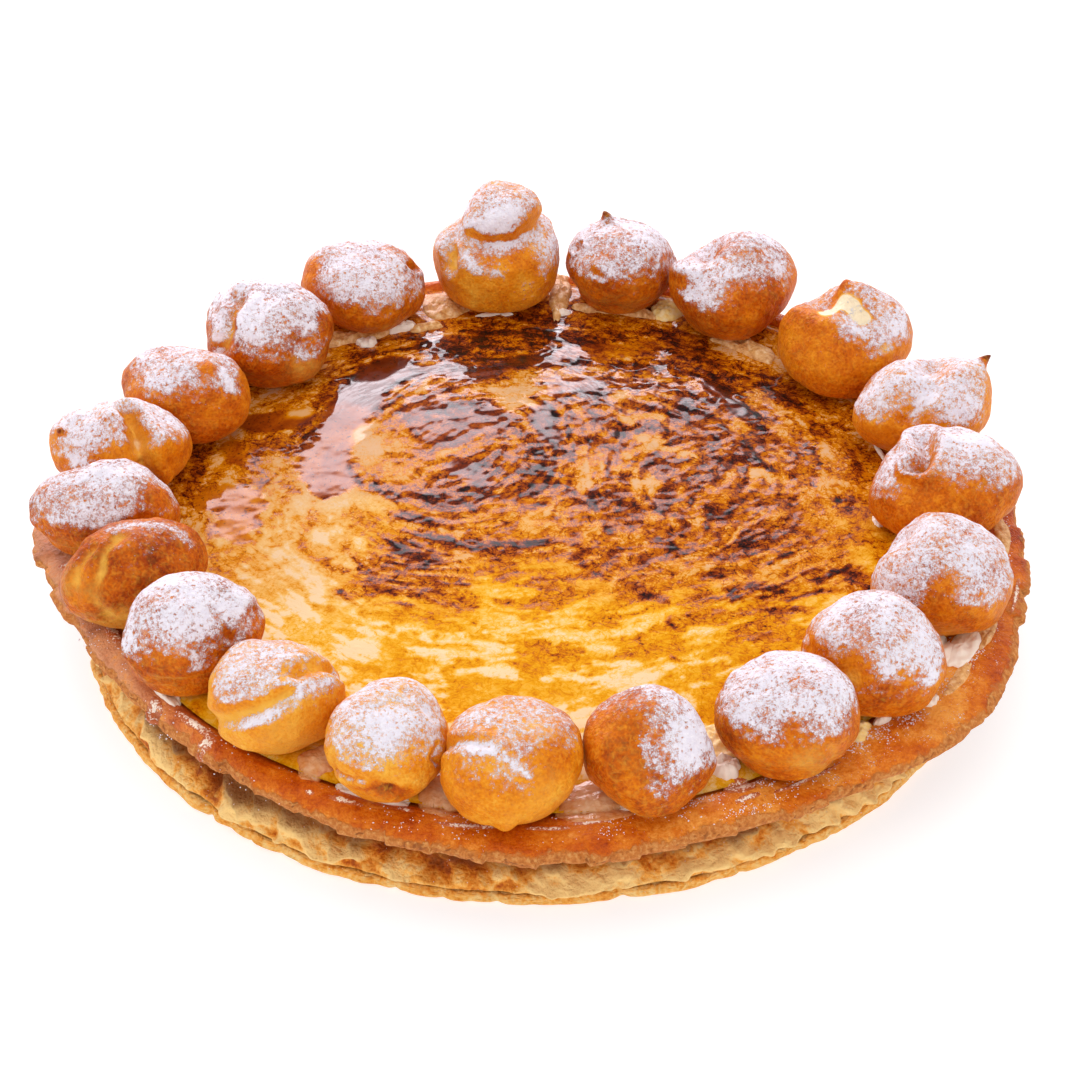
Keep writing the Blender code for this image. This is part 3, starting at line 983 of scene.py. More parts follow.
dome_out = 0.6 * MM * (fold - 1) + 0.8 * MM * ridges + 1.3 * MM * broad - 1.2 * pinch
dome_out += 1.6 * MM * blister + 2.2 * MM * bubble + 2.3 * MM * rolls
pleated = swell(bearing - PLEATS_AT, PLEATS_REACH)
dome_out += 0.9 * MM * pleated * np.cos(PLEATS * slanted + 2.0 * np.sin(7 * bearing))
sheet_out = 0.9 * MM * bearing_noise(bearing, 9 * MM, 6, 3) - notch
sheet_out += 0.45 * MM * bearing_noise(bearing, 5 * MM, 7, 3, height * 7.0)
in_slit = swell(height - SLIT_HEIGHT, 0.42 * MM) * on_side
pushed_out(rings, reach, on_dome * dome_out + on_sheet * sheet_out - 0.5 * MM * in_slit)
waver = 0.7 * MM * bearing_noise(bearing, 34 * MM, 8, 2)
rings[..., 2] += on_side * waver * ease(0.0, SLIT_HEIGHT, height) * ease(17 * MM, 8 * MM, height)
rings[..., 2] += 0.45 * MM * on_dome * ease(17 * MM, 9 * MM, height) * (ridges + broad)
# painted shade and light: the tones below make the dough paler where it stands out, browner in its hollows
# and pinches, and browner at the top of the dome under the crust's lip
standing_out = 0.14 * ridges + 0.15 * broad - 0.10 * pinch / MM + 0.35 * blister + 0.5 * rolls + 0.4 * bubble
base_values = {
    "relief_shade": 0.5 - on_dome * standing_out + 0.20 * on_dome * ease(8 * MM, 13 * MM, height),
    "dent_shade": on_dome * np.clip(0.28 * pinch / MM - 0.3 * blister - 0.4 * rolls - 0.1, 0, 1),
    "shade": on_dome * ease(8.6 * MM, 12.0 * MM, height - 1.2 * MM * rolls),
    "slit": in_slit + 0.35 * swell(height - SLIT_HEIGHT - 0.9 * MM, 0.8 * MM) * on_side,
    "sheet": on_sheet,
}

# %% Puff pastry material
puff_pastry, tree, shader = new_material("puff_pastry")
mottle = grain(tree, 4 * MM, 4.0, distortion=0.8)
fine = grain(tree, 1.1 * MM, 3.0)
layers = grain(tree, 3 * MM, 3.0, stretch=(1.0, 1.0, 6.0))
flaky = times(tree, layers, reading(tree, "sheet"))
white_flecks = window(tree, grain(tree, 0.8 * MM, 1.0), 0.73, 0.77)
tone = sum_of(
    # painted shade and light: this reading makes the dough paler where it stands out and browner in its
    # hollows and under the crust's lip
    tree, (reading(tree, "relief_shade"), 1.25), (mottle, 0.90), (fine, 0.80), (flaky, 0.35),
    # painted light: the lower sheet is made paler, making up for the shade it gets as it faces sideways and
    # down
    (reading(tree, "sheet"), -0.16), -1.26
)
dough = ramp(tree, tone, (
    (0.0, (255, 212, 136)), (0.28, (252, 180, 80)), (0.5, (234, 140, 36)),
    (0.72, (188, 88, 10)), (1.0, (110, 42, 2)),
))
# painted shade: the slit between the two sheets, and the strip just above it under the upper sheet, are
# darkened
slit = window(tree, sum_of(tree, reading(tree, "slit"), (fine, 0.4), -0.2), 0.25, 0.85)
# painted shade: brown in the pinches and hollows, and dark brown at the top of the dome under the crust's
# lip
dough = blend(tree, times(tree, reading(tree, "dent_shade"), 0.8), dough, (150, 78, 20))
dough = blend(tree, times(tree, reading(tree, "shade"), 0.85), dough, (120, 58, 8))
colour = blend(tree, slit, dough, (112, 52, 16))
flecked = times(tree, white_flecks, window(tree, mottle, 0.50, 0.62))
colour = blend(tree, flecked, colour, (246, 238, 236))
rough = sum_of(tree, (fine, 0.2), 0.45)
height_value = sum_of(tree, (mottle, 1.2), (fine, 0.7), (flaky, 0.9))
finish_material(tree, shader, colour, rough, height_value, 0.9 * MM, specular_ior_level=0.22)
mesh_piece(
    "puff_pastry_base",
    with_poles(rings),
    ring_faces(len(base_path), BASE_COLUMNS),
    puff_pastry,
    pole_values(base_values),
    replaces=("base",),
)

# %% [markdown]
# ## The browned crust
#
# The crust is one disc of dough whose rim rose higher than its floor. Its top was brushed with
# egg, so it is smooth and red brown. Its lower lip hangs over the base and stayed rough and pale.
# The outline isn't round: each ring is stretched to the reach that was read from the solid.

# %% Crust surface
CRUST_COLUMNS = 1000
PLAIN_EDGE = 147 * MM  # the furthest reach of the profile below
STRETCH_FROM = 135.5 * MM
crust_path = stacked_profile(
    [(0.5, 20.3), (60, 20.3), (105, 20.3)],
    [(114, 20.3), (126, 20.9), (134.5, 21.5), (141, 22.3), (144.6, 23.5), (146.6, 25.2), (147, 26.9),
        (145.8, 28.7), (143.2, 29.9), (140, 30.6), (137, 30.8), (134.6, 30.2), (132.4, 28.8),
        (129.5, 27.5), (125, 27.3)],
    84,
    [(110, 27.3), (60, 27.3), (0.5, 27.3)],
)
rings, bearing = turned(crust_path, CRUST_COLUMNS)
reach, height = np.hypot(rings[..., 0], rings[..., 1]), rings[..., 2]
rim = ease(STRETCH_FROM - 10 * MM, STRETCH_FROM + 3 * MM, reach)
share = np.clip((reach - STRETCH_FROM) / (PLAIN_EDGE - STRETCH_FROM), 0, 1)
# 1 on the overhanging lip and 0 on the glazed top; edge is the reach at which the
# profile's furthest point lands
lip = ease(30.3 * MM, 26.6 * MM, height) * ease(128 * MM, 138 * MM, reach)
edge = crust_edge(bearing) + 0.6 * MM * bearing_noise(bearing, 26 * MM, 20, 2)
edge += lip * 0.22 * MM * bearing_noise(bearing, 9 * MM, 21, 3)
lengthened = share * (edge - PLAIN_EDGE)
crumb = noise(rings, 2.4 * MM, 22, 3)
crumb_cracks = np.abs(noise(rings, 5.0 * MM, 23, 2))
wave = bearing_noise(bearing, 30 * MM, 24, 2)
ripple = noise(rings, 12 * MM, 25, 2)
crumbling = 0.45 * MM * crumb - 0.6 * MM * swell(crumb_cracks, 0.12) + 0.5 * MM * noise(rings, 7 * MM, 27, 3)
pushed_out(rings, reach, lengthened + lip * crumbling)
rings[..., 2] += rim * (0.55 * MM * wave * ease(24 * MM, 21 * MM, height))
rings[..., 2] += rim * ease(24 * MM, 28 * MM, height) * (0.30 * MM * ripple + 0.10 * MM * crumb)
rings[..., 2] += 0.6 * MM * lip * ease(139 * MM, 145 * MM, reach) * bearing_noise(bearing, 17 * MM, 26, 3)
uneven_height = height + 0.8 * MM * crumb + 0.9 * MM * wave
crust_values = {
    "lip": ease(30.0 * MM, 27.2 * MM, uneven_height) * ease(128 * MM, 138 * MM, reach),
    "crack_shade": lip * swell(crumb_cracks, 0.06),
    "rise": 0.5 + 0.35 * ripple + 0.2 * wave,
    "sugar": (1 - lip) * ease(-92, -50, np.degrees(bearing)) * ease(20, -5, np.degrees(bearing)),
}
crust_rings = rings

# %% Crust material
browned, tree, shader = new_material("browned_crust")
mottle = grain(tree, 7 * MM, 4.0)
fine = grain(tree, 1.3 * MM, 4.0)
pores = grain(tree, 0.6 * MM, 2.0)
place = add(tree, "SeparateXYZ", {0: add(tree, "TexCoord").outputs["Object"]})
toward_left = window(tree, place.outputs["X"], -80 * MM, -135 * MM)
toward_right = window(tree, place.outputs["X"], 120 * MM, 146 * MM)
tone = sum_of(
    tree, (reading(tree, "rise"), 0.35), (mottle, 1.15), (fine, 0.65), (pores, 0.40),
    (reading(tree, "sugar"), -0.26), (toward_right, 0.40), -0.86
)
brown = ramp(tree, tone, (
    (0.0, (240, 160, 66)), (0.3, (218, 116, 16)), (0.55, (196, 86, 0)),
    (0.8, (160, 56, 0)), (1.0, (110, 32, 0)),
))
# painted reflection: pale rosy patches towards the left stand in for a grazing sheen of the white
# surroundings on the crust
rosy_sheen = ramp(tree, tone, ((0.0, (240, 190, 150)), (0.5, (206, 136, 94)), (1.0, (146, 78, 44))))
sheen_patches = window(tree, sum_of(tree, mottle, fine), 0.60, 1.05)
brown = blend(tree, times(tree, toward_left, sheen_patches), brown, rosy_sheen)
sandy_tone = sum_of(tree, (fine, 1.3), (pores, 0.5), -0.4)
sandy = ramp(tree, sandy_tone, ((0.0, (150, 74, 26)), (0.5, (202, 122, 56)), (1.0, (234, 178, 108))))
rough_lip = window(tree, sum_of(tree, reading(tree, "lip"), (fine, 0.7), -0.35), 0.35, 0.85)
colour = blend(tree, rough_lip, brown, sandy)
# painted shade: the cracks of the lip are darkened inside
colour = blend(tree, window(tree, reading(tree, "crack_shade"), 0.3, 0.9), colour, (150, 82, 36))
dust = sum_of(
    tree, grain(tree, 0.5 * MM, 2.0), (grain(tree, 5 * MM, 2.0), 0.45), (reading(tree, "sugar"), 0.10)
)
dust = window(tree, dust, 0.98, 1.08)
colour = blend(tree, times(tree, dust, sum_of(tree, (rough_lip, -1.0), 1.0)), colour, (240, 230, 238))
rough = sum_of(tree, (rough_lip, 0.3), (fine, 0.2), 0.30)
height_value = sum_of(
    tree, (mottle, 1.6), (fine, 0.9), (pores, 0.6), (dust, 0.3), (times(tree, rough_lip, fine), 1.2)
)
finish_material(tree, shader, colour, rough, height_value, 0.5 * MM, specular_ior_level=0.18)
mesh_piece(
    "browned_crust",
    with_poles(rings),
    ring_faces(len(crust_path), CRUST_COLUMNS),
    browned,
    pole_values(crust_values),
    replaces=("crust",),
)

# %% [markdown]
# ## The custard and its burnt sugar
#
# Custard was spread with a palette knife in wide arcs, sugared and burnt with an iron. The knife
# left ridges, sugar melted into the hollows, and it burnt darkest where the iron pressed. So two
# fields make the whole look: the ground, which is the ridged custard, and the browning, which is
# how far the sugar over it has gone. Both are worked out on one square grid.

# %% A grid over the custard
CM = 10 * MM
GRID, GRID_HALF = 560, 136 * MM
axis = np.linspace(-GRID_HALF, GRID_HALF, GRID)
field_x, field_y = np.meshgrid(axis, axis)
field_points = np.stack([field_x, field_y, 0.0 * field_x], axis=-1)
CELL = axis[1] - axis[0]


def read_grid(field, x, y):
    """Reads a grid between its points: the mix of the four round each place."""
    column = np.clip((x + GRID_HALF) / CELL, 0, GRID - 1.001)
    row = np.clip((y + GRID_HALF) / CELL, 0, GRID - 1.001)
    c, r = column.astype(int), row.astype(int)
    s, t = column - c, row - r
    lower = field[r, c] * (1 - s) + field[r, c + 1] * s
    upper = field[r + 1, c] * (1 - s) + field[r + 1, c + 1] * s
    return lower * (1 - t) + upper * t


# %% [markdown]
# The knife went round a few centres. A stroke's direction at a place is a mix of the circles about
# them. Directions have no front or back, so their doubled angles are mixed, and halved again.

# %% Knife strokes
# the centres of the circles, and how far each rules, in centimetres; the middle one is everywhere
SWEEPS = {"left": (-2.5, 3.2), "far": (3.8, 5.0), "right": (5.8, 1.0), "middle": (0.0, 0.0)}
SWEEP_REACH = {"left": 7.5, "far": 3.8, "right": 5.0}
EVERYWHERE = 0.30
doubled = np.zeros(field_x.shape, dtype=complex)
for name, (cx, cy) in SWEEPS.items():
    dx, dy = field_x - cx * CM, field_y - cy * CM
    away = np.hypot(dx, dy)
    weight = EVERYWHERE
    if name in SWEEP_REACH:
        weight = swell(away, SWEEP_REACH[name] * CM) * ease(0.5 * CM, 4.0 * CM, away)
    doubled += weight * np.exp(2j * (np.arctan2(dy, dx) + np.pi / 2))
wander = noise(field_points, 14 * MM, 60, 3)
flow = np.exp(0.5j * np.angle(doubled) + 0.5j * wander)


def combed(size, length, seed):
    """Noise dragged along the strokes: each place takes the mean of the noise met on a walk of
    half the length forwards and half backwards along the flow. Scaled to about -1 to 1."""
    raw = noise(field_points, size, seed, 2)
    total = raw.copy()
    steps = int(length / CELL / 2)
    for sense in (1.0, -1.0):
        x, y = field_x.copy(), field_y.copy()
        heading = sense * flow
        for _ in range(steps):
            x = x + CELL * heading.real
            y = y + CELL * heading.imag
            ahead = read_grid(flow.real, x, y) + 1j * read_grid(flow.imag, x, y)
            ahead = ahead / np.maximum(np.abs(ahead), 1e-6)
            agree = np.sign(ahead.real * heading.real + ahead.imag * heading.imag)
            heading = ahead * np.where(agree == 0, 1.0, agree)
            total += read_grid(raw, x, y)
    return np.clip(total / (2.2 * total.std()), -1.2, 1.2)


fine_strokes = combed(1.5 * MM, 13 * MM, 61)
wide_strokes = combed(4.2 * MM, 24 * MM, 62)
lumps = noise(field_points, 9 * MM, 63, 2)
pebbles = noise(field_points, 3.6 * MM, 64, 2)
veins = swell(combed(4.0 * MM, 14 * MM, 68), 0.17)
fine_veins = swell(combed(2.3 * MM, 7 * MM, 69), 0.22)
grit = noise(field_points, 1.7 * MM, 70, 2)
ground = 0.18 * fine_strokes + 0.28 * wide_strokes + 0.40 * lumps + 0.45 * pebbles + 0.16 * grit
print("ground from", ground.min().round(2), "to", ground.max().round(2))

# %% [markdown]
# The browning starts as a slow change from cream at the front to amber at the back. Each mark of
# the iron then adds to it. A mark is a path with its half width and strength, and a pool of clear
# caramel is a path with its half width and its own browning. Cleared places show the bare cream.
# Places are in centimetres from the middle.

# %% Marks of the iron
MARKS = (
    # the black smear at the back and its arms
    (((-3.3, 8.9), (-2.2, 9.6), (-0.9, 9.9), (0.4, 9.9), (1.4, 9.3)), 0.75, 1.25),
    (((-2.2, 8.4), (-1.0, 9.0)), 0.50, 1.00), (((-3.4, 9.2), (-2.2, 9.5), (-0.8, 9.8)), 0.40, 0.70),
    (((-4.4, 7.4), (-3.0, 7.8), (-1.7, 8.0), (-0.6, 8.6), (0.8, 9.1)), 0.40, 0.55),
    (((1.4, 10.4), (3.0, 10.3), (4.6, 10.3)), 0.40, 0.40),
    (((4.4, 9.7), (5.1, 9.1), (5.6, 8.5)), 0.85, 0.85),
    # both banks of the long pool
    (((-4.7, 8.4), (-6.0, 7.5), (-7.0, 6.3), (-7.1, 5.1), (-7.6, 3.6)), 0.28, 0.85),
    (((-4.0, 8.0), (-4.7, 7.1), (-4.9, 6.1), (-5.1, 5.3)), 0.20, 0.70),
    # the ring at the right
    (((5.4, 7.5), (6.4, 6.3), (6.9, 5.0), (6.8, 3.8), (6.1, 3.0)), 0.40, 0.85),
    (((1.7, 6.9), (0.8, 5.9), (0.5, 4.7), (0.7, 3.7), (1.6, 3.0)), 0.30, 0.80),
    (((-1.2, 7.5), (0.2, 8.1), (1.8, 8.2), (4.0, 8.2), (5.2, 7.6)), 0.20, 0.60),
    (((1.5, 5.3), (2.4, 5.2)), 0.30, 0.60), (((2.6, 4.3), (3.7, 4.6)), 0.30, 0.75),
    (((2.9, 5.9), (3.7, 5.8)), 0.22, 0.60), (((1.2, 4.0), (2.6, 3.9)), 0.28, 0.70),
    (((4.2, 4.0), (5.7, 4.2)), 0.32, 0.70), (((3.6, 2.8), (5.5, 3.2)), 0.22, 0.60),
    (((4.4, 5.6), (5.6, 5.3), (6.0, 4.6)), 0.22, 0.60),
    (((2.0, 7.4), (3.6, 7.3), (4.8, 6.6)), 0.25, 0.50), (((3.2, 6.6), (4.6, 6.2)), 0.16, 0.45),
    (((1.9, 6.1), (2.3, 6.6)), 0.25, 0.50), (((6.0, 2.9), (6.5, 3.2)), 0.32, 1.10),
    (((6.9, 2.9), (7.3, 2.5), (7.8, 1.9)), 0.20, 1.20),
    # under the ring
    (((1.5, 3.2), (2.0, 2.2), (1.8, 1.1), (1.9, 0.4)), 0.20, 0.75),
    (((2.3, 2.3), (3.2, 2.1), (4.2, 1.8)), 0.22, 0.60), (((2.0, 1.6), (2.5, 1.3)), 0.30, 0.60),
    (((5.2, 1.8), (6.2, 1.5), (6.8, 0.6)), 0.20, 0.65),
    (((3.4, 1.2), (4.6, 0.9), (5.4, 0.4)), 0.15, 0.45), (((4.6, 2.2), (5.8, 2.3)), 0.18, 0.50),
    (((2.6, 0.8), (3.6, 0.3), (4.4, -0.4)), 0.16, 0.55),
    # the right rim
    (((7.2, 7.4), (7.6, 6.4)), 0.35, 0.55), (((7.8, 5.9), (8.4, 5.2), (8.9, 4.5)), 0.45, 0.90),
    (((8.2, 7.5), (9.0, 6.5), (9.8, 5.1)), 0.70, 0.25), (((9.3, 4.2), (10.2, 2.8)), 0.50, 0.35),
    (((9.5, 0.9), (9.7, 0.5)), 0.25, 1.00), (((6.6, 8.4), (7.4, 7.6), (8.0, 6.8)), 0.30, 0.40),
    (((8.4, 3.6), (8.9, 2.6)), 0.25, 0.40),
    # the left sweep
    (((-1.9, 3.5), (-0.6, 3.2), (0.6, 3.4)), 0.20, 0.55),
    (((-2.4, 2.7), (-1.2, 2.4), (0.4, 2.5)), 0.24, 0.75),
    (((-2.0, 1.8), (-0.8, 1.6), (0.6, 1.8)), 0.22, 0.75),
    (((-2.6, 3.0), (-2.7, 2.0), (-1.7, 1.2), (0.0, 1.1)), 0.20, 0.70),
    (((-5.9, 2.5), (-4.9, 1.5), (-3.9, 1.1), (-2.9, 1.1)), 0.28, 0.75),
    (((-3.2, 0.7), (-2.0, 0.6)), 0.35, 0.80), (((-4.2, 0.1), (-3.5, -0.1)), 0.30, 1.00),
    (((-3.6, 4.0), (-4.2, 5.0), (-3.9, 5.8)), 0.16, 0.50),
    (((-4.4, 6.4), (-3.6, 6.9), (-2.8, 6.6)), 0.25, 0.45), (((-2.4, 6.0), (-1.6, 6.3)), 0.20, 0.45),
    (((0.1, 7.2), (-0.1, 6.4), (-0.4, 5.8)), 0.18, 0.80),
    # the burnt bank below it
    (((-5.7, -3.7), (-4.4, -3.7), (-3.0, -3.5)), 0.38, 0.75),
    (((-4.9, -2.3), (-3.8, -1.9), (-2.6, -2.1)), 0.50, 0.60),
    (((-4.5, -1.0), (-3.0, -1.3), (-1.4, -1.7), (0.3, -1.1)), 0.42, 0.70),
    (((-3.3, -0.6), (-2.0, -0.9)), 0.36, 0.75), (((-5.0, -3.1), (-2.7, -3.1)), 0.70, 0.42),
    (((-4.0, -1.7), (-3.2, -1.9)), 0.22, 0.90), (((-5.2, -4.4), (-2.8, -4.6)), 0.55, 0.20),
    # thin arcs at the left
    (((-8.7, 0.7), (-8.5, -0.8)), 0.16, 0.35), (((-6.7, 0.4), (-7.1, -1.3), (-5.9, -2.7)), 0.24, 0.38),
    (((-8.8, 2.4), (-8.4, 1.5)), 0.20, 0.35), (((-5.4, 0.0), (-5.8, -1.4), (-4.8, -2.8)), 0.14, 0.30),
    # arcs at the right of the front
    (((1.1, -0.5), (1.4, -2.1), (2.6, -3.2), (3.8, -4.1)), 0.20, 0.70),
    (((1.9, 0.0), (2.3, -1.1), (3.2, -2.2)), 0.15, 0.50),
    (((2.9, 0.2), (3.5, -0.9), (4.5, -1.7)), 0.15, 0.55),
    (((3.8, 0.4), (4.5, -0.4), (5.5, -1.0)), 0.14, 0.45),
    (((5.2, -2.8), (6.2, -3.3), (7.3, -3.6)), 0.35, 0.60),
    (((8.4, -3.1), (9.2, -2.7), (10.0, -3.4)), 0.32, 0.90),
    (((4.6, -3.9), (7.0, -4.0), (9.5, -3.4)), 0.15, 0.50),
    (((4.0, -5.0), (6.4, -4.7), (8.2, -4.6)), 0.18, 0.42), (((5.8, -5.7), (7.0, -5.7)), 0.32, 0.35),
    # spots
    (((6.4, -1.2), (6.4, -1.4)), 0.24, 1.50), (((7.4, -1.9), (7.7, -1.8)), 0.16, 1.40),
    (((6.9, -2.1), (7.0, -2.2)), 0.16, 1.30), (((5.8, -3.6), (5.9, -3.8)), 0.18, 1.20),
    (((3.3, -3.8), (3.4, -3.9)), 0.18, 0.80), (((3.9, -5.2), (4.0, -5.3)), 0.15, 0.60),
    (((3.9, -6.8), (4.0, -6.9)), 0.15, 0.50), (((6.3, -0.4), (6.3, -0.6)), 0.24, 0.80),
    # darker gold at the front
    (((-0.6, -5.9), (1.2, -6.6), (3.5, -6.4), (5.8, -5.9)), 0.20, 0.20),
    (((1.2, -3.6), (2.3, -3.9)), 0.60, 0.12), (((-7.6, -3.8), (-6.6, -4.3), (-5.9, -4.5)), 0.20, 0.12),
    (((-4.0, -4.6), (-2.9, -5.4), (-2.2, -6.8)), 0.28, 0.12),
    (((-2.2, -4.0), (-1.6, -4.9)), 0.50, 0.10), (((-1.2, -7.0), (1.5, -7.6)), 0.18, 0.12),
    # a lighter patch at the back
    (((-1.6, 9.9), (-3.4, 9.9)), 0.50, -0.10),
)
POOLS = (
    (((-4.7, 7.9), (-5.6, 6.7), (-5.9, 5.7)), 0.72, 0.92, 1.0),
    (((-6.0, 5.3), (-6.3, 4.2), (-6.6, 2.8), (-6.4, 1.8)), 0.75, 0.66, 0.9),
    (((-8.8, 4.9), (-7.7, 5.3)), 0.50, 0.74, 0.9), (((-9.6, 3.7), (-9.4, 3.2)), 0.35, 0.62, 0.8),
    (((-9.8, 1.1), (-9.0, 0.9), (-9.3, -0.6)), 0.60, 0.46, 0.8),
    (((-4.4, 7.4), (-3.2, 8.0), (-2.4, 7.7)), 0.36, 0.82, 0.6),
    (((-2.0, 7.6), (-0.6, 8.3), (0.8, 8.8), (1.8, 9.1)), 0.30, 0.92, 0.6),
    (((-3.5, 5.6), (-2.9, 4.6), (-2.0, 5.1), (-1.5, 5.3)), 0.80, 0.72, 0.5),
    (((0.2, 5.9), (0.3, 4.9), (0.5, 4.3)), 0.38, 0.82, 0.6),
    (((0.6, 7.0), (1.6, 7.1)), 0.48, 0.78, 0.6), (((-2.6, 2.6), (-1.7, 2.1)), 0.34, 0.78, 0.6),
    (((5.6, 7.0), (6.5, 5.6)), 0.28, 0.88, 0.7),
    (((0.9, 8.7), (2.2, 9.0), (3.6, 9.2)), 0.36, 0.34, 0.5),
)
CLEARED = (
    (((-0.8, 6.4), (-0.5, 6.7)), 0.62), (((2.6, 6.3), (2.7, 6.4)), 0.26),
    (((2.8, 5.2), (4.0, 5.4)), 0.16), (((3.6, 3.8), (3.9, 4.0)), 0.22),
    (((1.5, 2.0), (1.6, 1.7)), 0.20), (((3.2, 1.8), (3.6, 1.7)), 0.30),
    (((7.0, 2.4), (7.4, 2.1)), 0.28), (((6.2, 9.5), (7.2, 9.1), (7.9, 8.5)), 0.42),
    (((3.2, 4.2), (4.8, 3.2)), 0.14), (((-5.3, 4.6), (-5.2, 3.6)), 0.30),
    (((-7.8, 5.6), (-7.3, 5.6)), 0.20),
)
# broad, soft changes of the browning: x, y, spread, amount
WARMTHS = (
    (-2.0, 2.6, 3.0, 0.12), (3.8, 5.0, 3.2, 0.16), (-0.5, 9.8, 2.4, 0.16), (6.4, 8.4, 2.0, 0.12),
    (-3.4, -2.2, 2.4, 0.12), (4.6, -1.0, 3.2, 0.06), (-6.8, -0.2, 2.4, -0.26), (9.0, 5.6, 2.0, -0.08),
    (6.2, 1.0, 1.8, 0.14), (7.4, -1.6, 1.8, 0.10), (3.4, -1.8, 1.6, 0.14), (-6.5, -5.5, 3.2, -0.28),
    (0.0, -9.5, 3.0, -0.24), (5.0, -8.0, 2.2, -0.10), (-5.0, 3.2, 1.4, -0.18), (9.5, 1.0, 2.0, -0.10),
    (7.0, -2.0, 1.8, 0.06), (8.0, 6.4, 1.5, -0.14), (7.6, 7.8, 1.6, -0.10), (-2.4, 5.6, 2.2, 0.10),
    (-5.6, 8.6, 1.6, 0.10), (-9.6, 5.2, 1.6, -0.12), (0.6, -4.4, 2.8, 0.05),
)


def distance_to(path):
    """How far each point of the grid lies from a path, in centimetres: the least distance to its
    straight pieces. Noise bends the grid first, so no mark has a clean outline."""
    path = np.array(path, dtype=float)
    if len(path) > 2:
        path = smooth_through(path, 4 * len(path))
    best = np.full(field_x.shape, np.inf)
    for (x0, y0), (x1, y1) in zip(path[:-1], path[1:]):
        run = max((x1 - x0) ** 2 + (y1 - y0) ** 2, 1e-9)
        share = np.clip(((bent_x - x0) * (x1 - x0) + (bent_y - y0) * (y1 - y0)) / run, 0, 1)
        off_x, off_y = bent_x - x0 - share * (x1 - x0), bent_y - y0 - share * (y1 - y0)
        best = np.minimum(best, np.hypot(off_x, off_y))
    return best


# %% [markdown]
# The browning is put together in the order in which it came about. First comes the sugar's own
# slow change, then the iron's marks, the pools that ran together, and the places the knife
# cleared. Last, the ridges of the ground: their tops caught the iron and their hollows kept sugar,
# and where little is burnt yet the custard shows through in cream patches with brown outlines.

# %% Browning
BEND, BEND_SIZE = 0.20, 9 * MM
FRONT_TONE, BACK_TONE_GAIN = 0.18, 0.33
TURNS_FROM, TURNS_TO = -5.0 * CM, 3.2 * CM
BURNT = 0.98
UNDER_PUFFS = 0.56
# where cream was squeezed out over the rim at the right: its bearing, and how far it spreads
SPILL_AT, SPILL_REACH = math.radians(-24), math.radians(24)
field_reach = np.hypot(field_x, field_y)
bent_x = field_x / CM + BEND * noise(field_points, BEND_SIZE, 65, 3)
bent_y = field_y / CM + BEND * noise(field_points, BEND_SIZE, 66, 3)
wavy_y = field_y + 1.5 * CM * np.sin(field_x / (3.2 * CM))
browning = FRONT_TONE + BACK_TONE_GAIN * ease(TURNS_FROM, TURNS_TO, wavy_y)
for x, y, spread, amount in WARMTHS:
    browning += amount * swell(np.hypot(field_x - x * CM, field_y - y * CM), spread * CM)

texture = fine_strokes + 0.6 * wide_strokes + 0.7 * pebbles + 0.5 * grit
strength = 0.60 + 0.60 * ease(-0.8, 0.8, texture)
unburnt = np.ones(field_x.shape)
for path, width, amount in MARKS:
    share = swell(distance_to(path), width * (0.9 + 0.35 * texture))
    unburnt *= 1 - np.clip(amount * strength * share, -0.5, 1)
browning += (1 - unburnt) * (BURNT - browning)

pool = np.zeros(field_x.shape)
shore = 0.16 * pebbles + 0.12 * fine_strokes + 0.06 * grit
for path, width, level, stillness in POOLS:
    share = stillness * ease(1.25, 0.80, distance_to(path) / width + shore / width**0.5)
    browning += share * (level + 0.08 * lumps - browning)
    pool = np.maximum(pool, share)
browning += 0.14 * ease(0.02, 0.3, pool) * ease(0.98, 0.6, pool)

cleared = np.zeros(field_x.shape)
for path, width in CLEARED:
    away = distance_to(path) / width + 0.5 * pebbles + 0.5 * fine_strokes
    cleared = np.maximum(cleared, ease(2.0, 0.3, away))

# deep is 0 where the sugar is hardly melted, and 1 where it is caramel
deep = ease(0.25, 0.60, browning)
patches = noise(field_points * np.array([0.8, 1.0, 1.0]), 8.0 * MM, 67, 4)
patches += 0.45 * wide_strokes + 0.35 * fine_strokes + 0.3 * pebbles
cream = ease(-0.02, 0.20, patches)
outlines = swell(patches + 0.14, 0.05) + swell(patches - 0.30, 0.04)
still = 1 - 0.85 * pool
browning -= 0.24 * cream * (1 - deep) * ease(-0.9, 0.2, fine_strokes)
browning += (1 - deep) * (0.07 + 0.12 * ease(0.0, 0.5, -patches) + 0.20 * outlines)
browning -= (0.08 + 0.30 * deep) * ground * still
browning += (0.04 + 0.10 * deep) * (veins + 0.7 * fine_veins - 0.45) * still
browning += (0.30 * deep * fine_strokes + (0.03 + 0.16 * deep) * grit) * still
browning -= cleared * (0.75 * browning - 0.04)
browning = np.where(browning > 0.70, 0.70 + 0.85 * (browning - 0.70), browning)

# under the puffs the custard is evenly browned, and paler at the front and near the spill
rim_share = ease(11.9 * CM, 12.4 * CM, field_reach + 1.5 * MM * lumps)
off_spill = np.angle(np.exp(1j * (np.arctan2(field_y, field_x) - SPILL_AT)))
under_puffs = UNDER_PUFFS - 0.22 * swell(off_spill, SPILL_REACH)
under_puffs = under_puffs - 0.38 * ease(-5 * CM, -9 * CM, field_y)
browning += rim_share * (under_puffs + 0.10 * pebbles + 0.12 * patches - browning)
# where the painted reflection lies: on the caramel, at the back and at the left, and not at the front
reflection_area = deep + 0.6 * ease(-1 * CM, 4 * CM, field_y) + 0.5 * ease(-3 * CM, -7 * CM, field_x)
reflection_area = np.clip(reflection_area, 0, 1) * ease(-6 * CM, -2 * CM, field_y)
print("browning from", browning.min().round(2), "to", browning.max().round(2))

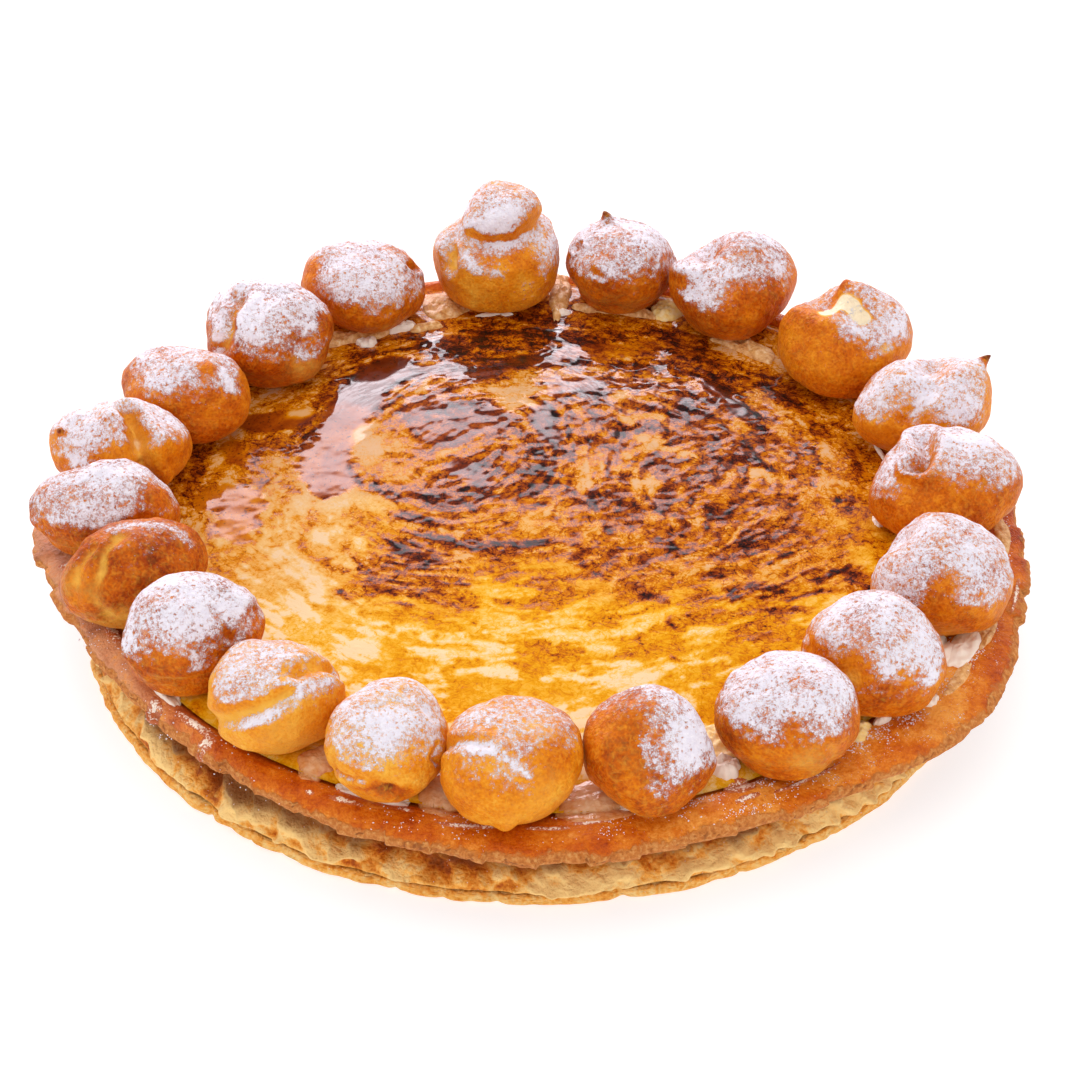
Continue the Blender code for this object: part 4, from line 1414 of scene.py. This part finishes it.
# %% Custard surface
CUSTARD_STEPS = 301
RELIEF = 0.48 * MM
SKIN_ROOM = 0.5 * MM  # room for the ridges under the solid's top
SHOULDER_DROP, EDGE_DROP = 1.2 * MM, 1.2 * MM
FOOT_INSET = 4.6 * MM
# the share of the radius that even cells fill; the outermost ones are drawn out to the edge
EVEN_SHARE, EDGE_POWER = 0.87, 11


def custard_height(reach):
    """Height of the custard without its ridges: level in the middle, then two falls outwards."""
    falls = SHOULDER_DROP * ease(97 * MM, 110 * MM, reach) + EDGE_DROP * ease(129 * MM, 133 * MM, reach)
    return CUSTARD_TOP - SKIN_ROOM - falls


def disc_grid(steps):
    """The x and y of a square grid bent into a unit disc: each square ring of the grid becomes a
    circle, so the cells stay nearly equal, which rings and spokes wouldn't give."""
    side = np.linspace(-1, 1, steps)
    u, v = np.meshgrid(side, side)
    wide = np.abs(u) > np.abs(v)
    safe_u, safe_v = np.where(u == 0, 1, u), np.where(v == 0, 1, v)
    signed = np.where(wide, u, v)
    turn = np.where(wide, np.pi / 4 * v / safe_u, np.pi / 2 - np.pi / 4 * u / safe_v)
    turn = np.where((u == 0) & (v == 0), 0.0, turn)
    return signed * np.cos(turn), signed * np.sin(turn)


unit_x, unit_y = disc_grid(CUSTARD_STEPS)
unit_reach = np.hypot(unit_x, unit_y)
grow = CUSTARD_RADIUS * (EVEN_SHARE + (1 - EVEN_SHARE) * unit_reach**EDGE_POWER)
top_x, top_y = unit_x * grow, unit_y * grow
flatness = read_grid(pool, top_x, top_y)
relief = read_grid(ground, top_x, top_y) * (1 - 0.985 * flatness)
relief = relief * (0.45 + 0.55 * read_grid(deep, top_x, top_y))
top_z = custard_height(np.hypot(top_x, top_y)) + RELIEF * relief
top = np.stack([top_x + MIDDLE[0], top_y + MIDDLE[1], top_z], axis=-1)

index = np.arange(CUSTARD_STEPS**2).reshape(CUSTARD_STEPS, CUSTARD_STEPS)
cells = np.stack([index[:-1, :-1], index[:-1, 1:], index[1:, 1:], index[1:, :-1]], axis=-1).reshape(-1, 4)
border = np.concatenate([index[0, :-1], index[:-1, -1], index[-1, :0:-1], index[:0:-1, 0]])
foot = top.reshape(-1, 3)[border].copy()
foot_bearing = polar(foot)[1]
foot[:, 0] = MIDDLE[0] + (CUSTARD_RADIUS - FOOT_INSET) * np.cos(foot_bearing)
foot[:, 1] = MIDDLE[1] + (CUSTARD_RADIUS - FOOT_INSET) * np.sin(foot_bearing)
foot[:, 2] = custard_low[2]
below = len(index.ravel()) + np.arange(len(border))
next_border, next_below = np.roll(border, -1), np.roll(below, -1)
wall = np.stack([below, next_below, next_border, border], axis=-1)
under = np.stack([np.full_like(below, below[-1] + 1), next_below, below], axis=-1)
custard_points = np.concatenate([top.reshape(-1, 3), foot, [[MIDDLE[0], MIDDLE[1], custard_low[2]]]])


def with_foot(value, at_foot):
    """A field's values on the top, followed by one value for the wall's foot."""
    return np.concatenate([value.ravel(), np.full(len(border) + 1, at_foot)])


# %% [markdown]
# ### Burnt sugar
#
# One ramp of colour runs from cream through yellow, amber and red brown to black. The material
# reads the browning from the mesh, adds strokes and grain too fine for the mesh, and looks the
# colour up. Caramel is clear and wet, so the browner it is, the more clear coat lies over it.

# %% Caramel material
caramel, tree, shader = new_material("bruleed_custard")
place = add(tree, "TexCoord").outputs["Object"]


def swept_grain(centre, size, length):
    """Noise that is short across a sweep's circles and long along them. It is looked up at
    (reach / size, x / length, y / length), so it changes fast only as the reach changes."""
    middle = (MIDDLE[0] + centre[0] * CM, MIDDLE[1] + centre[1] * CM, 0.0)
    away = add(tree, "VectorMath", {0: place, 1: middle}, operation="SUBTRACT").outputs[0]
    flat = add(tree, "VectorMath", {0: away, 1: (1.0, 1.0, 0.0)}, operation="MULTIPLY").outputs[0]
    reach = add(tree, "VectorMath", {0: flat}, operation="LENGTH").outputs["Value"]
    parts = add(tree, "SeparateXYZ", {0: flat}).outputs
    x, y = (times(tree, parts[name], 1.0 / length) for name in ("X", "Y"))
    looked = add(tree, "CombineXYZ", {0: times(tree, reach, 1.0 / size), 1: x, 2: y}).outputs[0]
    sockets = {"Vector": looked, "Scale": 1.0, "Detail": 2.0, "Distortion": 1.6}
    return add(tree, "TexNoise", sockets).outputs["Fac"]


left_streaks = swept_grain(SWEEPS["left"], 1.4 * MM, 6.5 * MM)
right_streaks = swept_grain(SWEEPS["right"], 1.2 * MM, 5.5 * MM)
streak_sockets = {0: reading(tree, "right_sweep"), 2: left_streaks, 3: right_streaks}
streaks = add(tree, "Mix", streak_sockets, data_type="FLOAT").outputs[0]
coarse = grain(tree, 2.8 * MM, 5.0, distortion=0.8)
fine = grain(tree, 0.9 * MM, 3.0, distortion=0.4)


def thin_lines(size, half_width, distortion):
    """Wandering lines: 1 where noise crosses its middle value, 0 past half_width from it."""
    noise_value = grain(tree, size, 3.0, distortion=distortion)
    off_middle = add(tree, "Math", {0: sum_of(tree, noise_value, -0.5)}, operation="ABSOLUTE").outputs[0]
    return window(tree, off_middle, half_width, 0.0)


wide_lines = thin_lines(6.5 * MM, 0.045, 1.2)
close_lines = thin_lines(3.0 * MM, 0.050, 1.0)
pooled = reading(tree, "pool")
open_share = sum_of(tree, (pooled, -0.96), 1.0)
busy = sum_of(tree, (window(tree, reading(tree, "browning"), 0.20, 0.50), 0.60), 0.40)
added = sum_of(
    tree, (streaks, 0.40), (coarse, 0.76), (fine, 0.42), (wide_lines, 0.24), (close_lines, 0.24), -0.90
)
brown_value = sum_of(tree, reading(tree, "browning"), times(tree, times(tree, added, open_share), busy))
# the browning runs from about -0.1 to 1.3, and a ramp from 0 to 1
BROWN_LOW, BROWN_RANGE = -0.1, 1.4
scaled = sum_of(tree, (brown_value, 1.0 / BROWN_RANGE), -BROWN_LOW / BROWN_RANGE)
burnt = ramp(tree, scaled, (
    (0.00, (236, 206, 160)), (0.08, (236, 190, 104)), (0.14, (233, 175, 62)), (0.20, (228, 161, 22)),
    (0.27, (220, 144, 0)), (0.35, (207, 122, 0)), (0.45, (190, 100, 2)), (0.56, (156, 68, 5)),
    (0.67, (113, 37, 4)), (0.80, (62, 18, 6)), (0.95, (20, 9, 10)),
))
# painted reflection: cream bits left pale on the caramel, at the back and at the left, are tinted tan pink,
# standing in for the reflection over them
reflected_pale_bits = times(tree, reading(tree, "reflection_area"), window(tree, brown_value, 0.38, 0.12))
burnt = blend(tree, times(tree, reflected_pale_bits, 0.85), burnt, (216, 172, 138))
specks = window(tree, grain(tree, 0.9 * MM, 1.0), 0.66, 0.72)
speck_area = window(tree, brown_value, 0.30, 0.55)
colour = blend(tree, times(tree, times(tree, specks, speck_area), 0.8), burnt, (38, 16, 12))
waviness = grain(tree, 7 * MM, 1.0)
rough_height = sum_of(tree, (streaks, -0.40), (coarse, -0.60), (fine, -0.28))
relief_height = sum_of(tree, (times(tree, waviness, pooled), 1.1), times(tree, rough_height, open_share))
wet = window(tree, sum_of(tree, brown_value, pooled), 0.20, 0.60)
depth = add(tree, "SeparateXYZ", {0: place}).outputs["Y"]
wavy_depth = sum_of(tree, depth, (grain(tree, 22 * MM), 80 * MM), -40 * MM)
toward_back = window(tree, wavy_depth, -45 * MM, 35 * MM)
wet_spots = times(tree, window(tree, streaks, 0.44, 0.56), window(tree, depth, 50 * MM, 75 * MM))
thin_coat = times(tree, wet, sum_of(tree, (toward_back, 0.26), 0.12))
coat = sum_of(tree, thin_coat, (pooled, 0.44), (wet_spots, 0.52))
tree.links.new(coat, shader.inputs["Coat Weight"])
rough = sum_of(tree, (wet, -0.10), 0.6)
coating = {"coat_roughness": 0.05, "coat_ior": 1.5, "specular_ior_level": 0.02}
finish_material(tree, shader, colour, rough, relief_height, 0.28 * MM, **coating)

left_away, right_away = (
    np.hypot(top_x - SWEEPS[side][0] * CM, top_y - SWEEPS[side][1] * CM) for side in ("left", "right")
)
right_sweep = ease(-2.0 * CM, 2.0 * CM, left_away - 1.15 * right_away + 0.5 * CM)
mesh_piece(
    "custard_top",
    custard_points,
    cells.tolist() + wall.tolist() + under.tolist(),
    caramel,
    {
        "browning": with_foot(read_grid(browning, top_x, top_y), 0.1),
        "pool": with_foot(flatness, 0.0),
        "reflection_area": with_foot(read_grid(reflection_area, top_x, top_y), 0.0),
        "right_sweep": with_foot(right_sweep, 0.0),
    },
    replaces=("custard",),
)

# %% [markdown]
# ## Cream under the puffs
#
# The puffs were set in cream, and some of it was squeezed out. Each dab is a disc of rings wrapped
# round the cake: its outline is made uneven by noise, and it lies on whatever is under it, so it
# needs the height of the crust and of the custard at any place.

# %% Heights under the cream
top_rows = slice(
    int(np.argmax(np.hypot(*(crust_rings[:, 0, :2] - MIDDLE[:2]).T))),
    int(np.flatnonzero(crust_path[:, 0] > 126 * MM)[-1]) + 1,
)
rim_points = crust_rings[top_rows]
rim_reach = np.hypot(rim_points[..., 0] - MIDDLE[0], rim_points[..., 1] - MIDDLE[1])
rim_reach = np.minimum.accumulate(rim_reach, axis=0)


def crust_height(bearing, reach):
    """Height of the crust's top at a bearing and reach: the rows of its rim are searched for the
    two that hold this reach, and their heights are mixed."""
    column = np.round((bearing + np.pi) / (2 * np.pi) * CRUST_COLUMNS).astype(int) % CRUST_COLUMNS
    reaches = rim_reach[:, column.ravel()]
    heights = rim_points[:, column.ravel(), 2]
    flat = reach.ravel()
    row = np.clip((reaches > flat).sum(axis=0), 1, len(reaches) - 1)
    each = np.arange(len(flat))
    outer, inner = reaches[row - 1, each], reaches[row, each]
    share = np.clip((outer - flat) / np.maximum(outer - inner, 1e-6), 0, 1)
    found = heights[row - 1, each] * (1 - share) + heights[row, each] * share
    return found.reshape(reach.shape)


def support_height(bearing, reach):
    """The higher of the crust and the custard, each where it exists."""
    on_crust = np.where(reach > 128 * MM, crust_height(bearing, reach), 0.0)
    on_custard = np.where(reach < CUSTARD_RADIUS, custard_height(reach), 0.0)
    return np.maximum(on_crust, on_custard)


# %% Dabs of cream
# bearing in degrees, reach, half length and half width in centimetres, thickness in millimetres,
# kind: 0 white cream, 1 yellow custard cream, 2 a thin clear glaze, 3 cream browned by the iron
DABS = (
    (-144, 13.40, 1.10, 0.28, 2.2, 0), (-142, 13.95, 0.40, 0.26, 0.4, 0),
    (-135.5, 13.60, 0.90, 0.20, 0.4, 0), (-132.5, 13.90, 0.25, 0.28, 0.4, 0),
    (-157.5, 13.55, 0.70, 0.20, 0.6, 0), (-172, 14.30, 0.14, 0.28, 0.5, 0),
    (-169, 14.40, 0.14, 0.30, 0.5, 0), (-166, 14.30, 0.14, 0.28, 0.5, 0),
    (-119, 12.75, 0.60, 0.75, 0.9, 2), (-110, 13.35, 1.05, 0.22, 2.2, 0),
    (-112.5, 13.85, 0.60, 0.12, 0.4, 0), (-117, 13.95, 0.16, 0.10, 0.4, 0),
    (-105.5, 13.65, 0.30, 0.10, 0.4, 0), (-101.5, 12.85, 0.80, 0.85, 1.0, 2),
    (-97.5, 13.95, 1.10, 0.11, 0.4, 0), (-88.5, 13.95, 0.70, 0.09, 0.4, 0),
    (-83.5, 13.80, 0.50, 0.08, 0.4, 0), (-82.5, 13.00, 1.20, 0.75, 1.0, 2),
    (-80, 12.40, 0.40, 0.60, 1.6, 0), (-78, 13.30, 0.50, 0.20, 2.0, 0),
    (-65, 12.70, 0.45, 0.45, 3.4, 0), (-63.5, 11.70, 0.50, 0.80, 2.2, 1),
    (-64.5, 13.45, 0.55, 0.30, 0.4, 0), (-65, 13.95, 0.40, 0.12, 0.4, 0),
    (-57.5, 14.10, 1.30, 0.08, 0.4, 0), (-47.5, 13.40, 0.55, 0.42, 3.2, 1),
    (-43, 13.60, 0.35, 0.20, 2.2, 0), (-36.5, 14.10, 0.30, 0.24, 1.8, 0),
    (-30, 13.20, 1.20, 0.60, 2.0, 0), (-25.5, 13.90, 1.10, 0.42, 1.2, 0),
    (-22, 14.40, 0.80, 0.14, 0.9, 3), (-31, 14.35, 0.90, 0.20, 0.8, 3),
    (-20, 14.15, 0.90, 0.22, 1.6, 3), (-13, 14.75, 0.90, 0.08, 0.5, 0),
    (-2, 14.20, 1.20, 0.24, 0.9, 3), (0, 10.50, 0.35, 0.22, 0.9, 0), (18, 11.35, 1.10, 0.08, 1.0, 0),
    (104, 12.10, 0.80, 0.80, 1.6, 3), (98, 11.35, 0.40, 0.10, 1.0, 0), (95, 11.30, 0.20, 0.10, 1.0, 0),
    (86.5, 12.70, 0.40, 1.50, 2.0, 3), (86, 11.40, 0.30, 0.18, 1.4, 0),
    (80.5, 11.70, 0.80, 0.20, 1.8, 3), (74.5, 11.80, 0.90, 0.22, 1.8, 3),
    (69.5, 12.30, 0.50, 0.60, 2.4, 1), (118, 11.50, 1.20, 0.36, 2.2, 3),
    (113, 11.35, 0.50, 0.26, 2.4, 0), (120, 11.10, 0.40, 0.30, 2.0, 0),
    (109, 11.15, 0.60, 0.24, 1.4, 3), (124, 11.80, 0.60, 0.36, 1.6, 3),
    (54, 11.60, 1.20, 0.42, 2.0, 3), (57, 11.85, 0.60, 0.26, 2.4, 1), (150, 11.65, 1.10, 0.10, 1.0, 3),
    (132, 11.90, 1.30, 0.10, 0.9, 3),
)
DAB_RINGS, DAB_SPOKES = 14, 56
DAB_SINK, DAB_FOOT = 0.15 * MM, 0.7 * MM
THIN_DAB = 0.75  # millimetres; below this the crust shows through


def dab_surface(number, place, reach, long_half, wide_half, thick):
    """One dab's points, and at each the share of the way to its outline. Its thickness is
    thick * sqrt(1 - share^2) * (1 + noise), and its outline is an ellipse times 1 + noise."""
    turn = np.linspace(0, 2 * np.pi, DAB_SPOKES, endpoint=False)
    share = np.linspace(1, 0, DAB_RINGS + 1)[:-1, None]
    spin = np.stack([np.cos(turn), np.sin(turn), 0 * turn + 7.3 * number], axis=-1)
    uneven = 1 + 0.36 * noise(spin, 0.80, 80, 4)
    along = share * long_half * CM * uneven * np.cos(turn)
    out = share * wide_half * CM * uneven * np.sin(turn)
    far = reach * CM + out
    bearing = math.radians(place) + along / (reach * CM)
    spot = np.stack([far * np.cos(bearing), far * np.sin(bearing), 0 * far], axis=-1)
    lumpy = 1 + 0.70 * noise(spot, 2.4 * MM, 81, 3)
    full = np.sqrt(np.clip(1 - share**2, 0, 1)) * lumpy
    top = support_height(bearing, far) + thick * MM * full - DAB_SINK
    rows = np.stack([spot[..., 0] + MIDDLE[0], spot[..., 1] + MIDDLE[1], top], axis=-1)
    foot = rows[:1].copy()
    foot[..., 2] -= DAB_FOOT
    shares = np.concatenate([np.ones(1 + DAB_SPOKES), np.repeat(share[:, 0], DAB_SPOKES), [0.0]])
    return with_poles(np.concatenate([foot, rows])), shares


cream_points, cream_faces = [], []
cream_values = {"kind": [], "share": [], "thin": []}
dab_faces = ring_faces(DAB_RINGS + 1, DAB_SPOKES)
for number, (*sizes, thick, kind) in enumerate(DABS):
    points, shares = dab_surface(number, *sizes, thick)
    start = number * len(points)
    cream_points.append(points)
    cream_faces += [tuple(start + corner for corner in face) for face in dab_faces]
    for key, value in (("kind", kind), ("share", shares), ("thin", thick < THIN_DAB)):
        cream_values[key].append(value * np.ones(len(points)))

# %% Cream material
cream_look, tree, shader = new_material("cream")
clumps = grain(tree, 1.6 * MM, 3.0)
fine = grain(tree, 0.6 * MM, 2.0)
kind = reading(tree, "kind")
white = blend(tree, clumps, (255, 244, 226), (242, 222, 208))
yellow_tone = sum_of(tree, (clumps, 1.2), (fine, 0.4), -0.35)
yellow = ramp(tree, yellow_tone, ((0.0, (250, 230, 190)), (0.55, (246, 208, 122)), (1.0, (230, 160, 40))))
brown_tone = sum_of(tree, (clumps, 1.5), (fine, 0.6), -0.55)
browner = ramp(tree, brown_tone, ((0.0, (244, 216, 172)), (0.5, (224, 166, 96)), (1.0, (170, 92, 24))))
glaze_tone = sum_of(tree, (clumps, 1.2), (reading(tree, "share"), 0.7), -0.62)
glaze = ramp(tree, glaze_tone, ((0.0, (232, 192, 146)), (0.6, (218, 152, 92)), (1.0, (190, 92, 20))))
colour = blend(tree, window(tree, kind, 0.0, 1.0), white, yellow)
colour = blend(tree, window(tree, kind, 1.0, 2.0), colour, glaze)
colour = blend(tree, window(tree, kind, 2.0, 3.0), colour, browner)
broken = sum_of(tree, (fine, 1.2), (clumps, 0.9), (reading(tree, "share"), 0.5))
broken = window(tree, broken, 1.15, 1.40)
colour = blend(tree, times(tree, broken, reading(tree, "thin")), colour, (190, 96, 40))
shiny = times(tree, window(tree, kind, 1.0, 2.0), window(tree, kind, 3.0, 2.0))
height_value = sum_of(tree, (clumps, 0.6), (fine, 0.4))
finish_material(tree, shader, colour, sum_of(tree, (shiny, -0.25), 0.45), height_value, 0.35 * MM)
mesh_piece(
    "squeezed_cream",
    np.concatenate(cream_points),
    cream_faces,
    cream_look,
    {key: np.concatenate(parts) for key, parts in cream_values.items()},
)

# %% [markdown]
# ## Loose sugar
#
# Sugar that missed the puffs lies on the crust and at their feet, mostly at the right. Each grain
# is an octahedron a few tenths of a millimetre wide, turned and stretched at random.

# %% Sugar grains
THROWN, GRAINS = 9000, 2600
AIMED = 0.62  # the share of the grains that fell in one heap, at the right of the front
rng = np.random.default_rng(31)
aimed = rng.uniform(size=THROWN) < AIMED
bearings = np.where(aimed, rng.normal(-42, 26, THROWN), rng.uniform(-180, 180, THROWN))
bearings = np.radians(bearings)
reaches = rng.uniform(133, 145, THROWN) * MM
landed = np.stack([reaches * np.cos(bearings), reaches * np.sin(bearings), 0 * reaches], axis=-1)
kept = np.sort(np.argsort(noise(landed, 7 * MM, 90, 3) + rng.uniform(-0.5, 0.5, THROWN))[-GRAINS:])
bearings, reaches = bearings[kept], reaches[kept]
corners = np.array([(1, 0, 0), (0, 1, 0), (-1, 0, 0), (0, -1, 0), (0, 0, 1), (0, 0, -1)], dtype=float)
sides = np.array([(0, 1, 4), (1, 2, 4), (2, 3, 4), (3, 0, 4), (1, 0, 5), (2, 1, 5), (3, 2, 5), (0, 3, 5)])
grain_sizes = rng.uniform(0.12, 0.30, (GRAINS, 1, 1)) * rng.uniform(0.6, 1.4, (GRAINS, 1, 3)) * MM
spin = rng.uniform(0, 2 * np.pi, (GRAINS, 1))
shape = corners * grain_sizes
turned_x = shape[..., 0] * np.cos(spin) - shape[..., 1] * np.sin(spin)
turned_y = shape[..., 0] * np.sin(spin) + shape[..., 1] * np.cos(spin)
rest = support_height(bearings, reaches) + 0.08 * MM
lying = MIDDLE + np.stack([reaches * np.cos(bearings), reaches * np.sin(bearings), rest], axis=-1)
grain_points = np.stack([turned_x, turned_y, shape[..., 2]], axis=-1) + lying[:, None]
grain_faces = (sides[None] + 6 * np.arange(GRAINS)[:, None, None]).reshape(-1, 3)
sugar_look, tree, shader = new_material("loose_sugar")
whites = blend(tree, grain(tree, 2 * MM), (252, 248, 252), (238, 230, 240))
finish_material(tree, shader, whites, 0.5, None, 0.0)
mesh_piece("sugar_grains", grain_points, grain_faces.tolist(), sugar_look)
